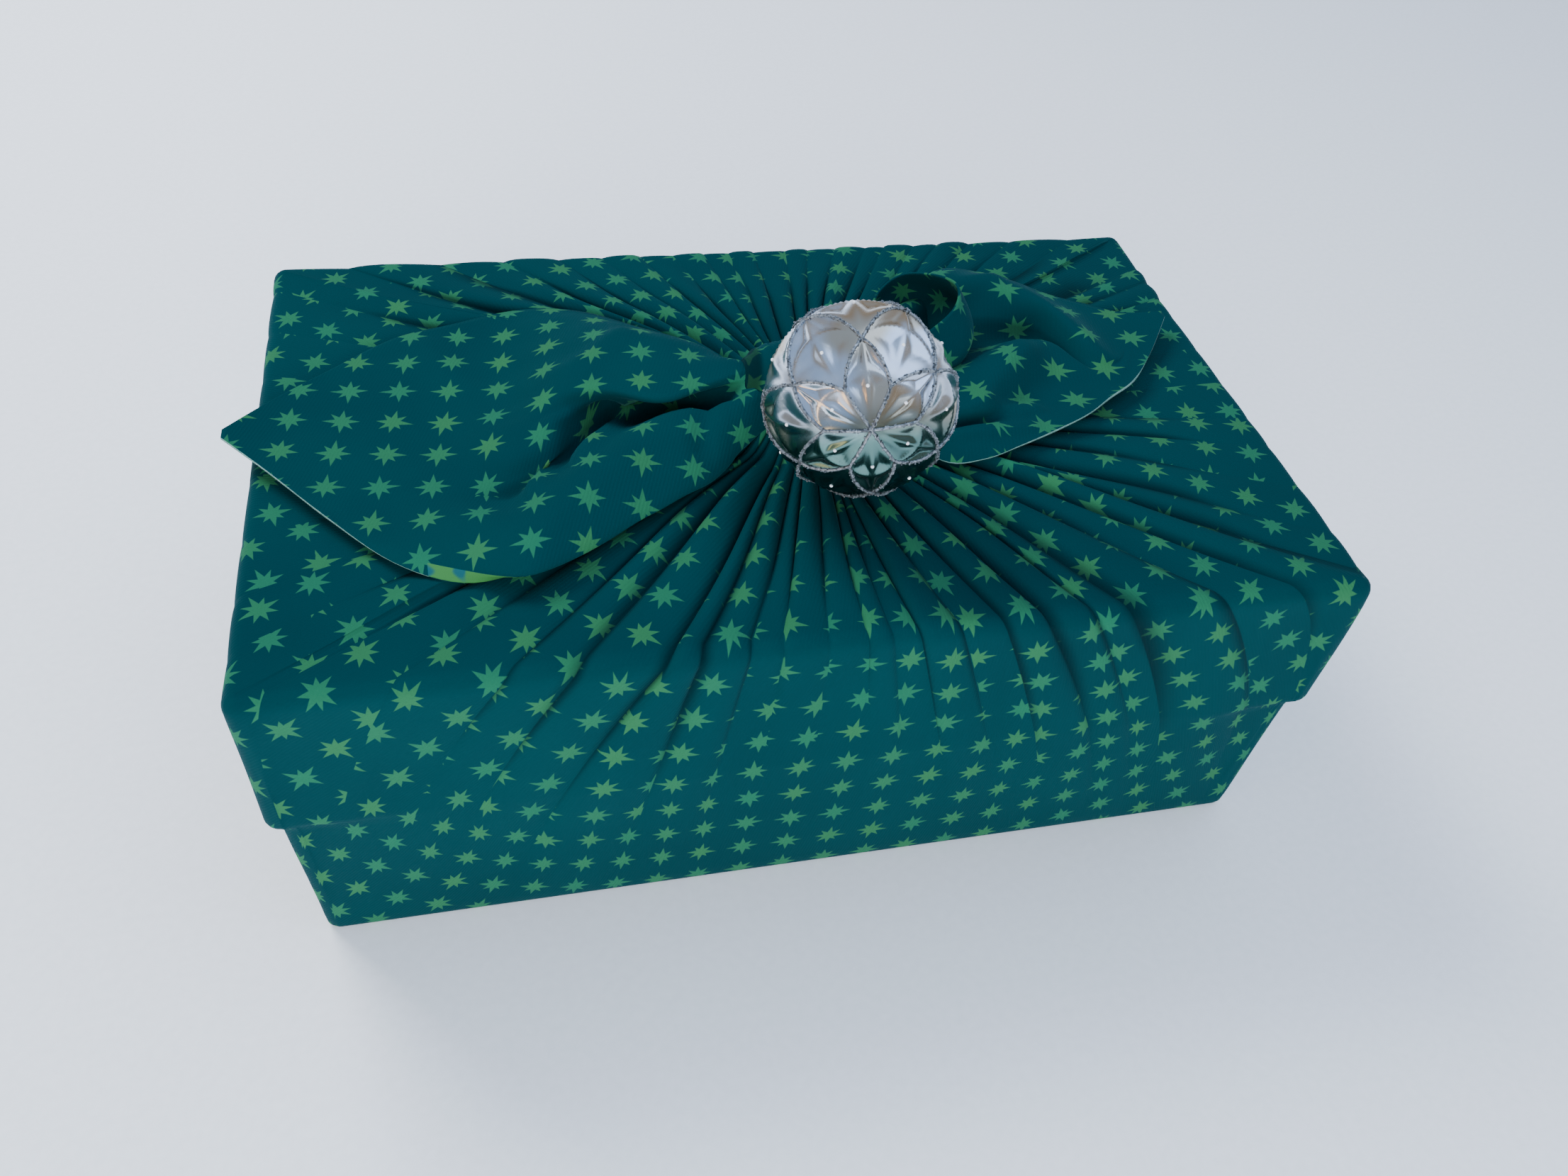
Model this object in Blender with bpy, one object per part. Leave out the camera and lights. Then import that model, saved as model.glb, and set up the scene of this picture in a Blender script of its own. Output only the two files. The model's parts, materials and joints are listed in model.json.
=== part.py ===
# A gift box wrapped in one square of printed stretch cloth: a furoshiki wrap, gathered into
# a knot on top, with a faceted bauble tied to the knot.
# Tables are in millimetres and the scene in metres. X runs along the parcel, Y to its back,
# Z up, and the origin is under the parcel's middle.
import math

import bmesh
import bpy
from mathutils import Matrix, Vector

MM = 0.001

# The parcel, measured over the cloth
LENGTH = 350.0
DEPTH = 218.0
HEIGHT = 129.0
ROUND = 4.5          # radius of its top edges and upright corners
CLOTH = 1.5          # thinnest wall of the cloth where it lies flat
TAIL_CLOTH = 1.5     # thickness of the loose tails
GAP = 0.3            # between neighbours

# The box inside: a base with a deep lid, both of thick board
LID_DEPTH = 58.0
BOARD = 3.0
LID_BEVEL = 7.0
BASE_BEVEL = 5.0
BASE_INSET = 7.1     # base inside the parcel's outline

# How the cloth's side goes down from the lid to the floor: height, inset
SIDE_PROFILE = (
    (114.0, 0.0), (98.0, 0.0), (84.0, 0.0), (70.6, 0.0), (67.0, 3.1),
    (36.0, 4.3), (2.6, 5.3), (0.7, 6.0), (0.0, 8.0),
)

SPAN_INSET = 5.3     # inset at the floor of the cloth that spans the ledge
LEDGE_FADE = 45.0    # how far from an upright corner the ledge still shows

# The gather: where it centres, its neck, and how far out its rings lie, from 0 to 1
KNOT = Vector((10.0, -2.0))
NECK_RADIUS = 12.0
NECK_RISE = 17.0
NECK_REACH = 24.0
TOP_RINGS = (0.0, 0.06, 0.14, 0.24, 0.37, 0.52, 0.68, 0.84, 1.0)

# Creases of each side, seen from outside, left to right: where one crosses the top edge,
# the rise of the pleat after it on top, its rise over the edge, how far it runs down the
# side, and how far sideways it moves for each millimetre down
CREASE = ("at", "rise", "edge", "run", "slope")
FRONT = (
    (-163, 4.0, 1.5, 16, -0.40), (-128, 5.0, 1.2, 32, -0.60), (-96, 7.0, 1.5, 40, -0.75),
    (-78, 7.0, 1.5, 60, -0.70), (-51, 5.0, 1.6, 88, -0.67), (-44, 6.5, 1.6, 76, -0.26),
    (-31, 5.5, 1.1, 18, -0.15), (-20, 5.0, 1.1, 42, -0.05), (-8, 5.0, 1.1, 15, 0.00),
    (3, 5.0, 1.1, 48, 0.12), (13, 5.0, 1.1, 15, 0.20), (21, 5.0, 1.3, 76, 0.30),
    (34, 5.5, 1.2, 18, 0.38), (47, 6.0, 1.5, 86, 0.45), (60, 6.5, 1.6, 78, 0.60),
    (76, 6.5, 1.5, 40, 0.60), (88, 7.0, 1.6, 92, 0.62), (118, 4.5, 1.1, 22, 0.80),
    (144, 6.0, 1.3, 45, 0.90),
)
RIGHT = (
    (-99, 7.0, 2.1, 26, 0.60), (-82, 6.5, 2.0, 22, 0.50), (-60, 5.0, 1.3, 20, 0.40),
    (-38, 5.0, 1.6, 26, 0.20), (-20, 2.2, 1.4, 24, 0.10), (0, 2.0, 1.1, 20, 0.00),
    (22, 2.0, 1.1, 20, 0.00), (44, 2.2, 1.2, 18, 0.15), (58, 6.0, 2.5, 34, 0.25),
    (69, 6.0, 2.8, 34, 0.30), (79, 5.5, 2.3, 26, 0.40),
)
BACK = (
    (-150, 5.0, 1.3, 40, -0.80), (-124, 5.0, 1.2, 30, -0.70), (-104, 5.5, 1.5, 70, -0.60),
    (-90, 5.5, 1.3, 30, -0.55), (-79, 5.0, 1.2, 55, -0.50), (-68, 5.0, 1.2, 22, -0.45),
    (-58, 5.0, 1.2, 62, -0.40), (-46, 5.0, 1.1, 22, -0.30), (-35, 5.0, 1.1, 48, -0.20),
    (-24, 5.0, 1.1, 18, -0.12), (-13, 5.0, 1.1, 50, -0.05), (-2, 5.0, 1.1, 18, 0.00),
    (9, 5.0, 1.1, 44, 0.08), (21, 5.0, 1.2, 20, 0.15), (34, 5.5, 1.3, 64, 0.28),
    (49, 5.5, 1.3, 28, 0.40), (66, 6.0, 1.5, 74, 0.50), (86, 6.5, 1.7, 30, 0.60),
    (112, 7.0, 1.9, 58, 0.65), (146, 6.0, 1.5, 30, 0.60),
)
LEFT = (
    (-90, 5.5, 1.2, 30, -0.50), (-64, 2.6, 1.0, 24, -0.35), (-38, 2.0, 0.9, 20, -0.20),
    (-12, 2.0, 0.8, 18, 0.00), (14, 2.0, 0.9, 18, 0.10), (40, 2.6, 1.0, 22, 0.30),
    (66, 4.0, 1.1, 26, 0.45), (86, 4.5, 1.2, 20, 0.50),
)

# The knot's barrel: centre, and its radius along X, a band at a time
BARREL = Vector((8.0, -3.0, HEIGHT + 16.5))
BARREL_PROFILE = (
    (-23.0, 7.0), (-20.0, 10.5), (-15.0, 12.5), (-9.0, 12.8), (-6.0, 11.0), (-3.5, 12.8),
    (2.0, 13.6), (8.0, 13.2), (11.0, 11.2), (14.0, 12.6), (19.0, 11.8), (23.0, 9.0),
    (25.0, 6.0),
)
BARREL_SLANT = 0.25  # how far the bands lean along X for each millimetre up
BARREL_SIDES = 16

# Tails: sections across, from the back edge to the front, as (y, height over the top)
LEFT_TAIL_POINTS = ("back", "lip_top", "lip_edge", "lip_under", "pocket_wall",
                    "pocket_floor", "crest", "front", "tuck")
LEFT_TAIL = {
    -4: ((3, 12), (1, 17), (-2, 20), (-4, 21), (-6, 21), (-10, 20), (-14, 16), (-17, 11),
         (-15, 7)),
    -14: ((10, 13), (4, 20), (-3, 22), (-6, 20.5), (-8, 19), (-12, 19), (-17, 18),
          (-24, 10), (-19, 5)),
    -26: ((29, 11), (12, 20), (-6, 21), (-7, 16.5), (-2, 12.5), (-8, 9.5), (-18, 18), (-37, 9),
          (-28, 3.5)),
    -43: ((43, 9), (20, 20.5), (-11, 20), (-10, 15.5), (4, 10), (-6, 5.5), (-22, 18),
          (-50, 9), (-39, 3.5)),
    -60: ((57, 7), (30, 17), (-4, 20), (-5, 14.5), (3, 9), (-10, 4), (-34, 18), (-61, 9),
          (-50, 3.5)),
    -76: ((63, 6), (34, 12), (2, 17.5), (-8, 14), (-14, 9), (-24, 4.5), (-47, 17), (-71, 9),
          (-61, 3.5)),
    -92: ((63, 5), (32, 6), (6, 8), (-12, 11), (-26, 10), (-38, 5), (-58, 14), (-78, 9),
          (-71, 3.5)),
    -110: ((57, 5), (34, 5), (12, 5), (-4, 5), (-18, 5), (-36, 5), (-52, 9), (-69, 7),
           (-74, 3.5)),
    -130: ((50, 5), (32, 5), (16, 5), (2, 5), (-12, 5), (-27, 5), (-43, 5), (-57, 5), (-63, 4)),
    -150: ((34, 5), (25, 5), (16, 5), (7, 5), (-2, 5), (-12, 5), (-22, 5), (-33, 5), (-41, 5)),
    -168: ((17, 6), (12, 6), (8, 6), (3, 6), (-1, 6), (-5, 6), (-10, 6), (-14, 6), (-19, 6)),
    -182: ((0, 8), (-0.5, 8), (-1, 8), (-1.5, 8), (-2, 8), (-2.5, 8), (-3, 8), (-3.5, 8), (-4, 8)),
}
RIGHT_TAIL_POINTS = ("back", "brow", "hollow", "lobe", "dip", "skirt", "hem")
RIGHT_TAIL = {
    22: ((2, 14), (0, 18), (-2, 20), (-4, 20), (-7, 18), (-11, 14), (-14, 9)),
    34: ((13, 12), (9, 17), (4, 18), (-3, 19), (-9, 16), (-15, 11), (-19, 7)),
    47: ((38, 8), (29, 12), (12, 8), (-13, 14), (-24, 9), (-31, 10), (-40, 7)),
    62: ((57, 9), (46, 12), (26, 5), (-17, 15), (-24, 8), (-30, 10), (-41, 7)),
    78: ((68, 12), (54, 14), (30, 5), (-2, 15), (-16, 8), (-24, 8), (-35, 7)),
    94: ((65, 12), (50, 15), (33, 5), (11, 14), (-3, 7), (-16, 6), (-28, 7)),
    108: ((60, 10), (42, 15), (28, 5), (17, 10), (2, 6), (-10, 6), (-21, 7)),
    120: ((53, 8), (22, 13), (9, 6), (4, 6), (-2, 5.5), (-7, 5.5), (-12, 6.5)),
    133: ((47, 7), (15, 7), (9, 6), (6, 6), (3, 5.5), (0, 5.5), (-3, 6.5)),
    147: ((41, 6), (35, 6), (30, 6), (26, 6), (22, 6), (18, 6), (13, 6)),
    162: ((37.5, 8), (37, 8), (36.5, 8), (36, 8), (35.5, 8), (35, 8), (34, 8)),
}
# The loop beside the knot is one wall that curls round: foot, belly and rim of each station
LOOP = (
    ((26, 0, 8), (26, -1, 14), (26, 2, 20)), ((42, -2, 5), (43, -4, 14), (42, 2, 23)),
    ((56, 2, 5), (59, 1, 15), (56, 10, 25)), ((66, 9, 5), (71, 9, 17), (67, 19, 28)),
    ((70, 21, 5), (76, 23, 18), (71, 31, 31)), ((67, 35, 5), (73, 39, 19), (66, 43, 31)),
    ((57, 44, 5), (61, 50, 18), (56, 50, 28)), ((46, 40, 5), (47, 46, 14), (46, 45, 21)),
    ((38, 25, 5), (37, 30, 11), (37, 29, 16)),
)
# Where the cloth's layers part, out of sight under the right tail
MOUTH_AT = Vector((82.0, 6.5, HEIGHT + 1.2))
MOUTH_SIZE = Vector((40.0, 3.0, 7.6))
MOUTH_TURN = math.radians(6.7)

# The bauble and its cap
BAUBLE_AT = Vector((13.6, -44.0, HEIGHT + 38.0))
BAUBLE_RADIUS = 30.0
BAUBLE_POLE = Vector((-0.170, -0.925, 0.339)).normalized()
BAUBLE_NORTH = Vector((-0.191, -0.673, 0.715))
PETALS = 6
PETAL_ROWS = (0.0, 26.0, 52.0, 90.0, 128.0, 154.0, 180.0)   # degrees from the pole
DENT = 1.5
CAP_RADIUS = 4.6
CAP_HEIGHT = 2.6

COLOURS = {
    "cloth": (0.010, 0.110, 0.120), "card": (0.62, 0.54, 0.42), "silver": (0.78, 0.80, 0.80),
    "cap": (0.70, 0.70, 0.68),
}


def smooth(value):
    value = min(1.0, max(0.0, value))
    return value * value * (3.0 - 2.0 * value)


def mix(a, b, share):
    return a + (b - a) * share


def material(name, colour, roughness, metallic=0.0):
    made = bpy.data.materials.new(name)
    made.use_nodes = True
    shader = made.node_tree.nodes["Principled BSDF"]
    shader.inputs["Base Color"].default_value = (*colour, 1.0)
    shader.inputs["Roughness"].default_value = roughness
    shader.inputs["Metallic"].default_value = metallic
    return made


def add_object(name, mesh, collection, skin=None):
    made = bpy.data.objects.new(name, mesh)
    collection.objects.link(made)
    if skin:
        mesh.materials.append(skin)
    return made


def mesh_from(name, points, faces):
    """Points are in millimetres."""
    shape = bmesh.new()
    corners = [shape.verts.new(Vector(point) * MM) for point in points]
    for face in faces:
        shape.faces.new([corners[i] for i in face])
    bmesh.ops.recalc_face_normals(shape, faces=shape.faces)
    bmesh.ops.triangulate(shape, faces=shape.faces)     # Booleans tear uneven four-sided faces
    mesh = bpy.data.meshes.new(name)
    shape.to_mesh(mesh)
    shape.free()
    return mesh


# The parcel's outline

def sides():
    """Each side with its outward direction, its half length and the distance to it."""
    half_x, half_y = LENGTH / 2, DEPTH / 2
    return (
        (FRONT, Vector((0, -1)), half_x, half_y), (RIGHT, Vector((1, 0)), half_y, half_x),
        (BACK, Vector((0, 1)), half_x, half_y), (LEFT, Vector((-1, 0)), half_y, half_x),
    )


def creases():
    """All creases in order round the parcel, each with its side and its place round."""
    found, start = [], 0.0
    for side, (table, out, half, away) in enumerate(sides()):
        for row in table:
            crease = dict(zip(CREASE, row))
            crease["side"] = side
            crease["round"] = start + half + crease["at"]
            found.append(crease)
        start += 2 * half
    return found, start


def side_place(place, total):
    """The side, and the distance along it from its middle, of a place round the parcel."""
    place %= total
    for side, (table, out, half, away) in enumerate(sides()):
        if place < 2 * half:
            return side, place - half
        place -= 2 * half
    return 0, -sides()[0][2]


def outline(place, total, inset=0.0, moved=0.0):
    """The outline's point and outward direction at a place round it, with rounded corners.
    The outline can be drawn in, and the point moved along its side."""
    side, along = side_place(place, total)
    table, out, half, away = sides()[side]
    tangent = Vector((-out.y, out.x))
    straight = half - ROUND
    if abs(along) <= straight:
        along = (along + moved) * (straight - inset) / straight
        return out * (away - inset) + tangent * along, out
    sign = math.copysign(1.0, along)
    turn = math.radians(45.0) * (abs(along) - straight) / ROUND * sign
    centre = out * (away - ROUND - inset) + tangent * (straight - inset) * sign
    direction = out * math.cos(turn) + tangent * math.sin(turn)
    return centre + direction * ROUND, direction


def spoke_places(rows, total):
    """Places of the spokes: two to five for each pleat, and three for each corner."""
    places = []
    for row, following in zip(rows, rows[1:] + rows[:1]):
        width = (following["round"] - row["round"]) % total
        parts = (0.0, 0.5) if width < 13.0 else (0.0, 0.3, 0.7)
        if width > 19.0:
            parts = (0.0, 0.22, 0.5, 0.78)
        places += [(row["round"] + width * part) % total for part in parts]
    start = 0.0
    for table, out, half, away in sides():
        places = [p for p in places if abs((p - start + total / 2) % total - total / 2) > 2 * ROUND]
        places += [(start + step * ROUND) % total for step in (-1.0, 0.0, 1.0)]
        start += 2 * half
    return sorted(places)


def pleat_at(place, rows, total):
    """The pleat that a place lies in, how far across it lies, and its width at the edge."""
    for row, following in zip(rows, rows[1:] + rows[:1]):
        width = (following["round"] - row["round"]) % total
        past = (place - row["round"]) % total
        if past < width - 1e-6:
            return row, past / width, width
    return rows[0], 0.0, 1.0


def slope_at(place, rows, total):
    """Sideways drift down the side, read between creases and nothing at a corner."""
    side, along = side_place(place, total)
    half = sides()[side][2]
    knots = [(-half, 0.0)] + [(r["at"], r["slope"]) for r in rows if r["side"] == side]
    knots.append((half, 0.0))
    for (x0, s0), (x1, s1) in zip(knots, knots[1:]):
        if x0 <= along <= x1:
            return mix(s0, s1, (along - x0) / (x1 - x0))
    return 0.0


def drift(along, straight, slope, down):
    """How far along the side a spoke lies below the edge, never past the upright corner."""
    if abs(along) >= straight or slope == 0.0:
        return along
    end = math.copysign(straight, slope)
    room = abs(end - along)
    return end - math.copysign(room * math.exp(-abs(slope) * down / room), slope)


def drawn_in(height, inset, from_corner):
    """The inset of the side: the cloth follows the lid's ledge near the upright corners, and
    spans it taut elsewhere."""
    if height < 3.0:
        return inset
    taut = SPAN_INSET * max(0.0, 1.0 - height / (HEIGHT - LID_DEPTH))
    return mix(inset, min(inset, taut), smooth(from_corner / LEDGE_FADE))


def hump(across):
    return math.sin(math.pi * across) ** 0.7 if 0.0 < across < 1.0 else 0.0


# The wrap

def spoke(place, rows, total):
    """Points of the cloth from its neck, over the top's edge and down to the underside."""
    row, across, width = pleat_at(place, rows, total)
    lift = hump(across)
    edge_point, out = outline(place, total)
    reach = (edge_point - out * ROUND - KNOT).length
    heading = (edge_point - out * ROUND - KNOT).normalized()
    points = []
    for share in TOP_RINGS:
        radius = NECK_RADIUS + (reach - NECK_RADIUS) * share ** 1.25
        room = 0.42 * width * radius / reach + 0.5
        rise = mix(min(row["rise"], room), row["edge"], smooth((share - 0.55) / 0.45))
        neck = NECK_RISE * (1.0 - smooth((radius - NECK_RADIUS) / NECK_REACH))
        plan = KNOT + heading * radius
        points.append((plan.x, plan.y, HEIGHT + neck + rise * lift))
    half_turn = math.radians(45.0)
    bulge = ROUND + row["edge"] * lift
    plan = edge_point - out * ROUND + out * bulge * math.sin(half_turn)
    points.append((plan.x, plan.y, HEIGHT - ROUND + bulge * math.cos(half_turn)))
    side, along = side_place(place, total)
    straight = sides()[side][2] - ROUND
    slope = slope_at(place, rows, total)
    for height, inset in ((HEIGHT - ROUND, 0.0),) + SIDE_PROFILE:
        down = HEIGHT - height
        fade = 1.0 - smooth(down / row["run"] / 1.4) if height > 3.0 else 0.0
        moved = drift(along, straight, slope, down - ROUND) - along
        inset = drawn_in(height, inset, straight - abs(along + moved))
        plan, out = outline(place, total, inset, moved)
        plan = plan + out * row["edge"] * lift * fade
        points.append((plan.x, plan.y, height))
    return points


def wrap_body():
    rows, total = creases()
    places = spoke_places(rows, total)
    grid = [spoke(place, rows, total) for place in places]
    rings = len(grid[0])
    points = [point for line in grid for point in line]
    points.append((KNOT.x, KNOT.y, HEIGHT + NECK_RISE))
    points.append((0.0, 0.0, 0.0))
    neck, under = len(points) - 2, len(points) - 1
    faces = []
    for i in range(len(grid)):
        here, there = i * rings, (i + 1) % len(grid) * rings
        for k in range(rings - 1):
            faces.append((here + k, here + k + 1, there + k + 1, there + k))
        faces.append((neck, here, there))
        faces.append((under, there + rings - 1, here + rings - 1))
    return mesh_from("wrap_body", points, faces)


def rounded_loft(name, levels):
    """A closed loft of rounded rectangles: height, half length, half depth and corner radius."""
    points, sides_each = [], 3
    for height, half_x, half_y, radius in levels:
        for quarter in range(4):
            sign_x, sign_y = ((1, 1), (-1, 1), (-1, -1), (1, -1))[quarter]
            for step in range(sides_each):
                angle = math.radians(90 * quarter + 90 * step / (sides_each - 1))
                points.append((sign_x * (half_x - radius) + radius * math.cos(angle),
                               sign_y * (half_y - radius) + radius * math.sin(angle), height))
    count = 4 * sides_each
    faces = [tuple(range(count))[::-1], tuple(range(len(points) - count, len(points)))]
    for level in range(len(levels) - 1):
        for i in range(count):
            j = (i + 1) % count
            low, high = level * count, (level + 1) * count
            faces.append((low + i, low + j, high + j, high + i))
    return mesh_from(name, points, faces)


def cavity():
    """The space that the box fills: straight past the lid, then drawn in to the base."""
    def level(height, inset, radius):
        return height, LENGTH / 2 - inset, DEPTH / 2 - inset, radius
    rim = HEIGHT - LID_DEPTH
    return rounded_loft("cavity", (
        level(CLOTH, BASE_INSET + 1.7, 1.5), level(CLOTH + 2.0, BASE_INSET - GAP, 3.0),
        level(rim - 3.0, 4.7, 3.0), level(rim, CLOTH, 3.0),
        level(HEIGHT - CLOTH - 2.0, CLOTH, 3.0), level(HEIGHT - CLOTH, CLOTH + 2.0, 1.5),
    ))


def curve_through(points, steps):
    """Points of a smooth curve through these, with this many steps between neighbours."""
    found = []
    for i in range(len(points) - 1):
        p0, p1 = points[max(i - 1, 0)], points[i]
        p2, p3 = points[i + 1], points[min(i + 2, len(points) - 1)]
        for step in range(steps):
            t = step / steps
            found.append(0.5 * (2 * p1 + (p2 - p0) * t + (2 * p0 - 5 * p1 + 4 * p2 - p3) * t * t
                                + (3 * p1 - p0 - 3 * p2 + p3) * t ** 3))
    found.append(points[-1])
    return found


def sheet(name, grid, thickness):
    """A closed sheet whose upper face is a grid of points, thickened downwards."""
    rows, columns = len(grid), len(grid[0])
    normals = []
    for i in range(rows):
        for j in range(columns):
            along = grid[min(i + 1, rows - 1)][j] - grid[max(i - 1, 0)][j]
            across = grid[i][min(j + 1, columns - 1)] - grid[i][max(j - 1, 0)]
            normals.append(along.cross(across).normalized())
    upper = [point for line in grid for point in line]
    lower = [point - normal * thickness for point, normal in zip(upper, normals)]
    count, faces = rows * columns, []
    for i in range(rows - 1):
        for j in range(columns - 1):
            a, b = i * columns + j, (i + 1) * columns + j
            faces.append((a, b, b + 1, a + 1))
            faces.append((count + a, count + a + 1, count + b + 1, count + b))
    rim = [j for j in range(columns)]
    rim += [i * columns + columns - 1 for i in range(1, rows)]
    rim += [(rows - 1) * columns + j for j in range(columns - 2, -1, -1)]
    rim += [i * columns for i in range(rows - 2, 0, -1)]
    for a, b in zip(rim, rim[1:] + rim[:1]):
        faces.append((a, a + count, b + count, b))
    return mesh_from(name, [tuple(p) for p in upper + lower], faces)


def tail(name, table, steps):
    grid = []
    for x, section in table.items():
        line = [Vector((x, y, HEIGHT + height)) for y, height in section]
        grid.append(curve_through(line, steps))
    return sheet(name, grid, TAIL_CLOTH if grid[0][0].x > grid[-1][0].x else -TAIL_CLOTH)


def loop_wall():
    grid = [curve_through([Vector((x, y, HEIGHT + height)) for x, y, height in line], 2)
            for line in LOOP]
    return sheet("loop", grid, TAIL_CLOTH)


def barrel():
    """The knot's wound bands, turned about X and leaning a little."""
    points, faces = [], []
    for along, radius in BARREL_PROFILE:
        for step in range(BARREL_SIDES):
            angle = 2 * math.pi * step / BARREL_SIDES
            up = radius * math.sin(angle)
            points.append((BARREL.x + along + BARREL_SLANT * up,
                           BARREL.y + radius * math.cos(angle), BARREL.z + up))
    count = BARREL_SIDES
    for ring in range(len(BARREL_PROFILE) - 1):
        for step in range(count):
            a, b = ring * count + step, ring * count + (step + 1) % count
            faces.append((a, b, b + count, a + count))
    faces.append(tuple(range(count))[::-1])
    faces.append(tuple(range(len(points) - count, len(points))))
    return mesh_from("barrel", points, faces)


def mouth():
    bpy.ops.mesh.primitive_cube_add(size=1)
    cutter = bpy.context.object
    cutter.data.transform(Matrix.Diagonal((*(MOUTH_SIZE * MM), 1.0)))
    cutter.data.transform(Matrix.Rotation(MOUTH_TURN, 4, "Z"))
    cutter.data.transform(Matrix.Translation(MOUTH_AT * MM))
    return cutter


def helper(name, thing, cutters):
    """Puts a mesh or an object among the hidden helpers."""
    made = thing if isinstance(thing, bpy.types.Object) else bpy.data.objects.new(name, thing)
    for collection in list(made.users_collection):
        collection.objects.unlink(made)
    cutters.objects.link(made)
    made.name = name
    made.hide_render = True
    made.display_type = "WIRE"
    return made


def join_or_cut(target, other, operation):
    boolean = target.modifiers.new(f"{operation.lower()} {other.name}", "BOOLEAN")
    boolean.operation = operation
    boolean.object = other
    boolean.solver = "EXACT"


def build_wrap(parts, cutters):
    cloth = material("printed stretch cloth", COLOURS["cloth"], 0.85)
    wrap = add_object("wrap_cloth", wrap_body(), parts, cloth)
    pieces = {
        "knot_barrel": barrel(), "knot_loop": loop_wall(),
        "left_tail": tail("left_tail", LEFT_TAIL, 2),
        "right_tail": tail("right_tail", RIGHT_TAIL, 2),
    }
    join_or_cut(wrap, helper("box_space", cavity(), cutters), "DIFFERENCE")
    join_or_cut(wrap, helper("mouth", mouth(), cutters), "DIFFERENCE")
    for name, mesh in pieces.items():
        join_or_cut(wrap, helper(name, mesh, cutters), "UNION")
    return wrap


# The box

def board_box(name, size, bevel, edges_to_bevel):
    """A block standing on the origin with the chosen edges rounded."""
    shape = bmesh.new()
    bmesh.ops.create_cube(shape, size=1.0)
    bmesh.ops.scale(shape, vec=size * MM, verts=shape.verts)
    bmesh.ops.translate(shape, vec=(0, 0, size.z * MM / 2), verts=shape.verts)
    chosen = [edge for edge in shape.edges if edges_to_bevel(edge)]
    bmesh.ops.bevel(shape, geom=chosen, offset=bevel * MM, segments=3, profile=0.5,
                    affect="EDGES")
    mesh = bpy.data.meshes.new(name)
    shape.to_mesh(mesh)
    shape.free()
    return mesh


def build_box(parts, cutters):
    card = material("grey board", COLOURS["card"], 0.9)
    inset = CLOTH + GAP
    lid_size = Vector((LENGTH - 2 * inset, DEPTH - 2 * inset, LID_DEPTH - inset - GAP))
    top = HEIGHT - inset

    def not_bottom(edge):
        return not all(corner.co.z < 1e-6 for corner in edge.verts)

    def not_top(edge):
        return not all(corner.co.z > 0.01 for corner in edge.verts)

    lid = add_object("gift_box_lid", board_box("lid", lid_size, LID_BEVEL, not_bottom), parts, card)
    lid.location.z = (top - lid_size.z) * MM
    hollow = Vector((lid_size.x - 2 * BOARD, lid_size.y - 2 * BOARD, lid_size.z))
    lid_space = helper("lid_space", board_box("lid_space", hollow, 1.5, not_bottom),
                       cutters)
    lid_space.location.z = (top - BOARD - hollow.z) * MM
    join_or_cut(lid, lid_space, "DIFFERENCE")

    base_height = top - BOARD - GAP - inset
    base_size = Vector((LENGTH - 2 * BASE_INSET, DEPTH - 2 * BASE_INSET, base_height))
    base = add_object("gift_box_base", board_box("base", base_size, BASE_BEVEL, not_top),
                      parts, card)
    base.location.z = inset * MM
    hollow = Vector((base_size.x - 2 * BOARD, base_size.y - 2 * BOARD, base_height))
    base_space = helper("base_space", board_box("base_space", hollow, 2.0, not_top), cutters)
    base_space.location.z = (inset + BOARD) * MM
    join_or_cut(base, base_space, "DIFFERENCE")


# The bauble

def ball_point(row, petal, radius):
    """A point on the ball: row in degrees from the pole, petal in steps round it."""
    polar, turn = math.radians(row), 2 * math.pi * petal / PETALS
    return Vector((radius * math.sin(polar) * math.cos(turn),
                   radius * math.sin(polar) * math.sin(turn), radius * math.cos(polar)))


def bauble_mesh():
    """Petal cells in six rows, each a star of facets dented round its raised middle."""
    shape = bmesh.new()
    known = {}

    def corner(point):
        key = tuple(round(value, 3) for value in point)
        if key not in known:
            known[key] = shape.verts.new(point * MM)
        return known[key]

    last = len(PETAL_ROWS) - 1
    for row in range(last - 1):
        low, middle, high = PETAL_ROWS[row], PETAL_ROWS[row + 1], PETAL_ROWS[row + 2]
        for petal in range(PETALS):
            at = petal + 0.5 * (row % 2)
            ends = [ball_point(low, at, BAUBLE_RADIUS), ball_point(middle, at + 0.5, BAUBLE_RADIUS),
                    ball_point(high, at, BAUBLE_RADIUS), ball_point(middle, at - 0.5, BAUBLE_RADIUS)]
            heart = sum(ends, Vector()).normalized() * BAUBLE_RADIUS
            for one, two in zip(ends, ends[1:] + ends[:1]):
                halfway = (one + two).normalized() * BAUBLE_RADIUS
                dent = (heart * 0.55 + halfway * 0.45).normalized() * (BAUBLE_RADIUS - DENT)
                for a, b, c in ((one, halfway, dent), (halfway, two, dent), (one, dent, heart),
                                (dent, two, heart)):
                    shape.faces.new([corner(a), corner(b), corner(c)])
    bmesh.ops.recalc_face_normals(shape, faces=shape.faces)
    mesh = bpy.data.meshes.new("bauble")
    shape.to_mesh(mesh)
    shape.free()
    return mesh


def bauble_frame():
    """Turns the ball's own axes so that its pole and first petal face the right way."""
    first = (BAUBLE_NORTH - BAUBLE_POLE * BAUBLE_NORTH.dot(BAUBLE_POLE)).normalized()
    second = BAUBLE_POLE.cross(first)
    turn = Matrix((first, second, BAUBLE_POLE)).transposed().to_4x4()
    return Matrix.Translation(BAUBLE_AT * MM) @ turn


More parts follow.
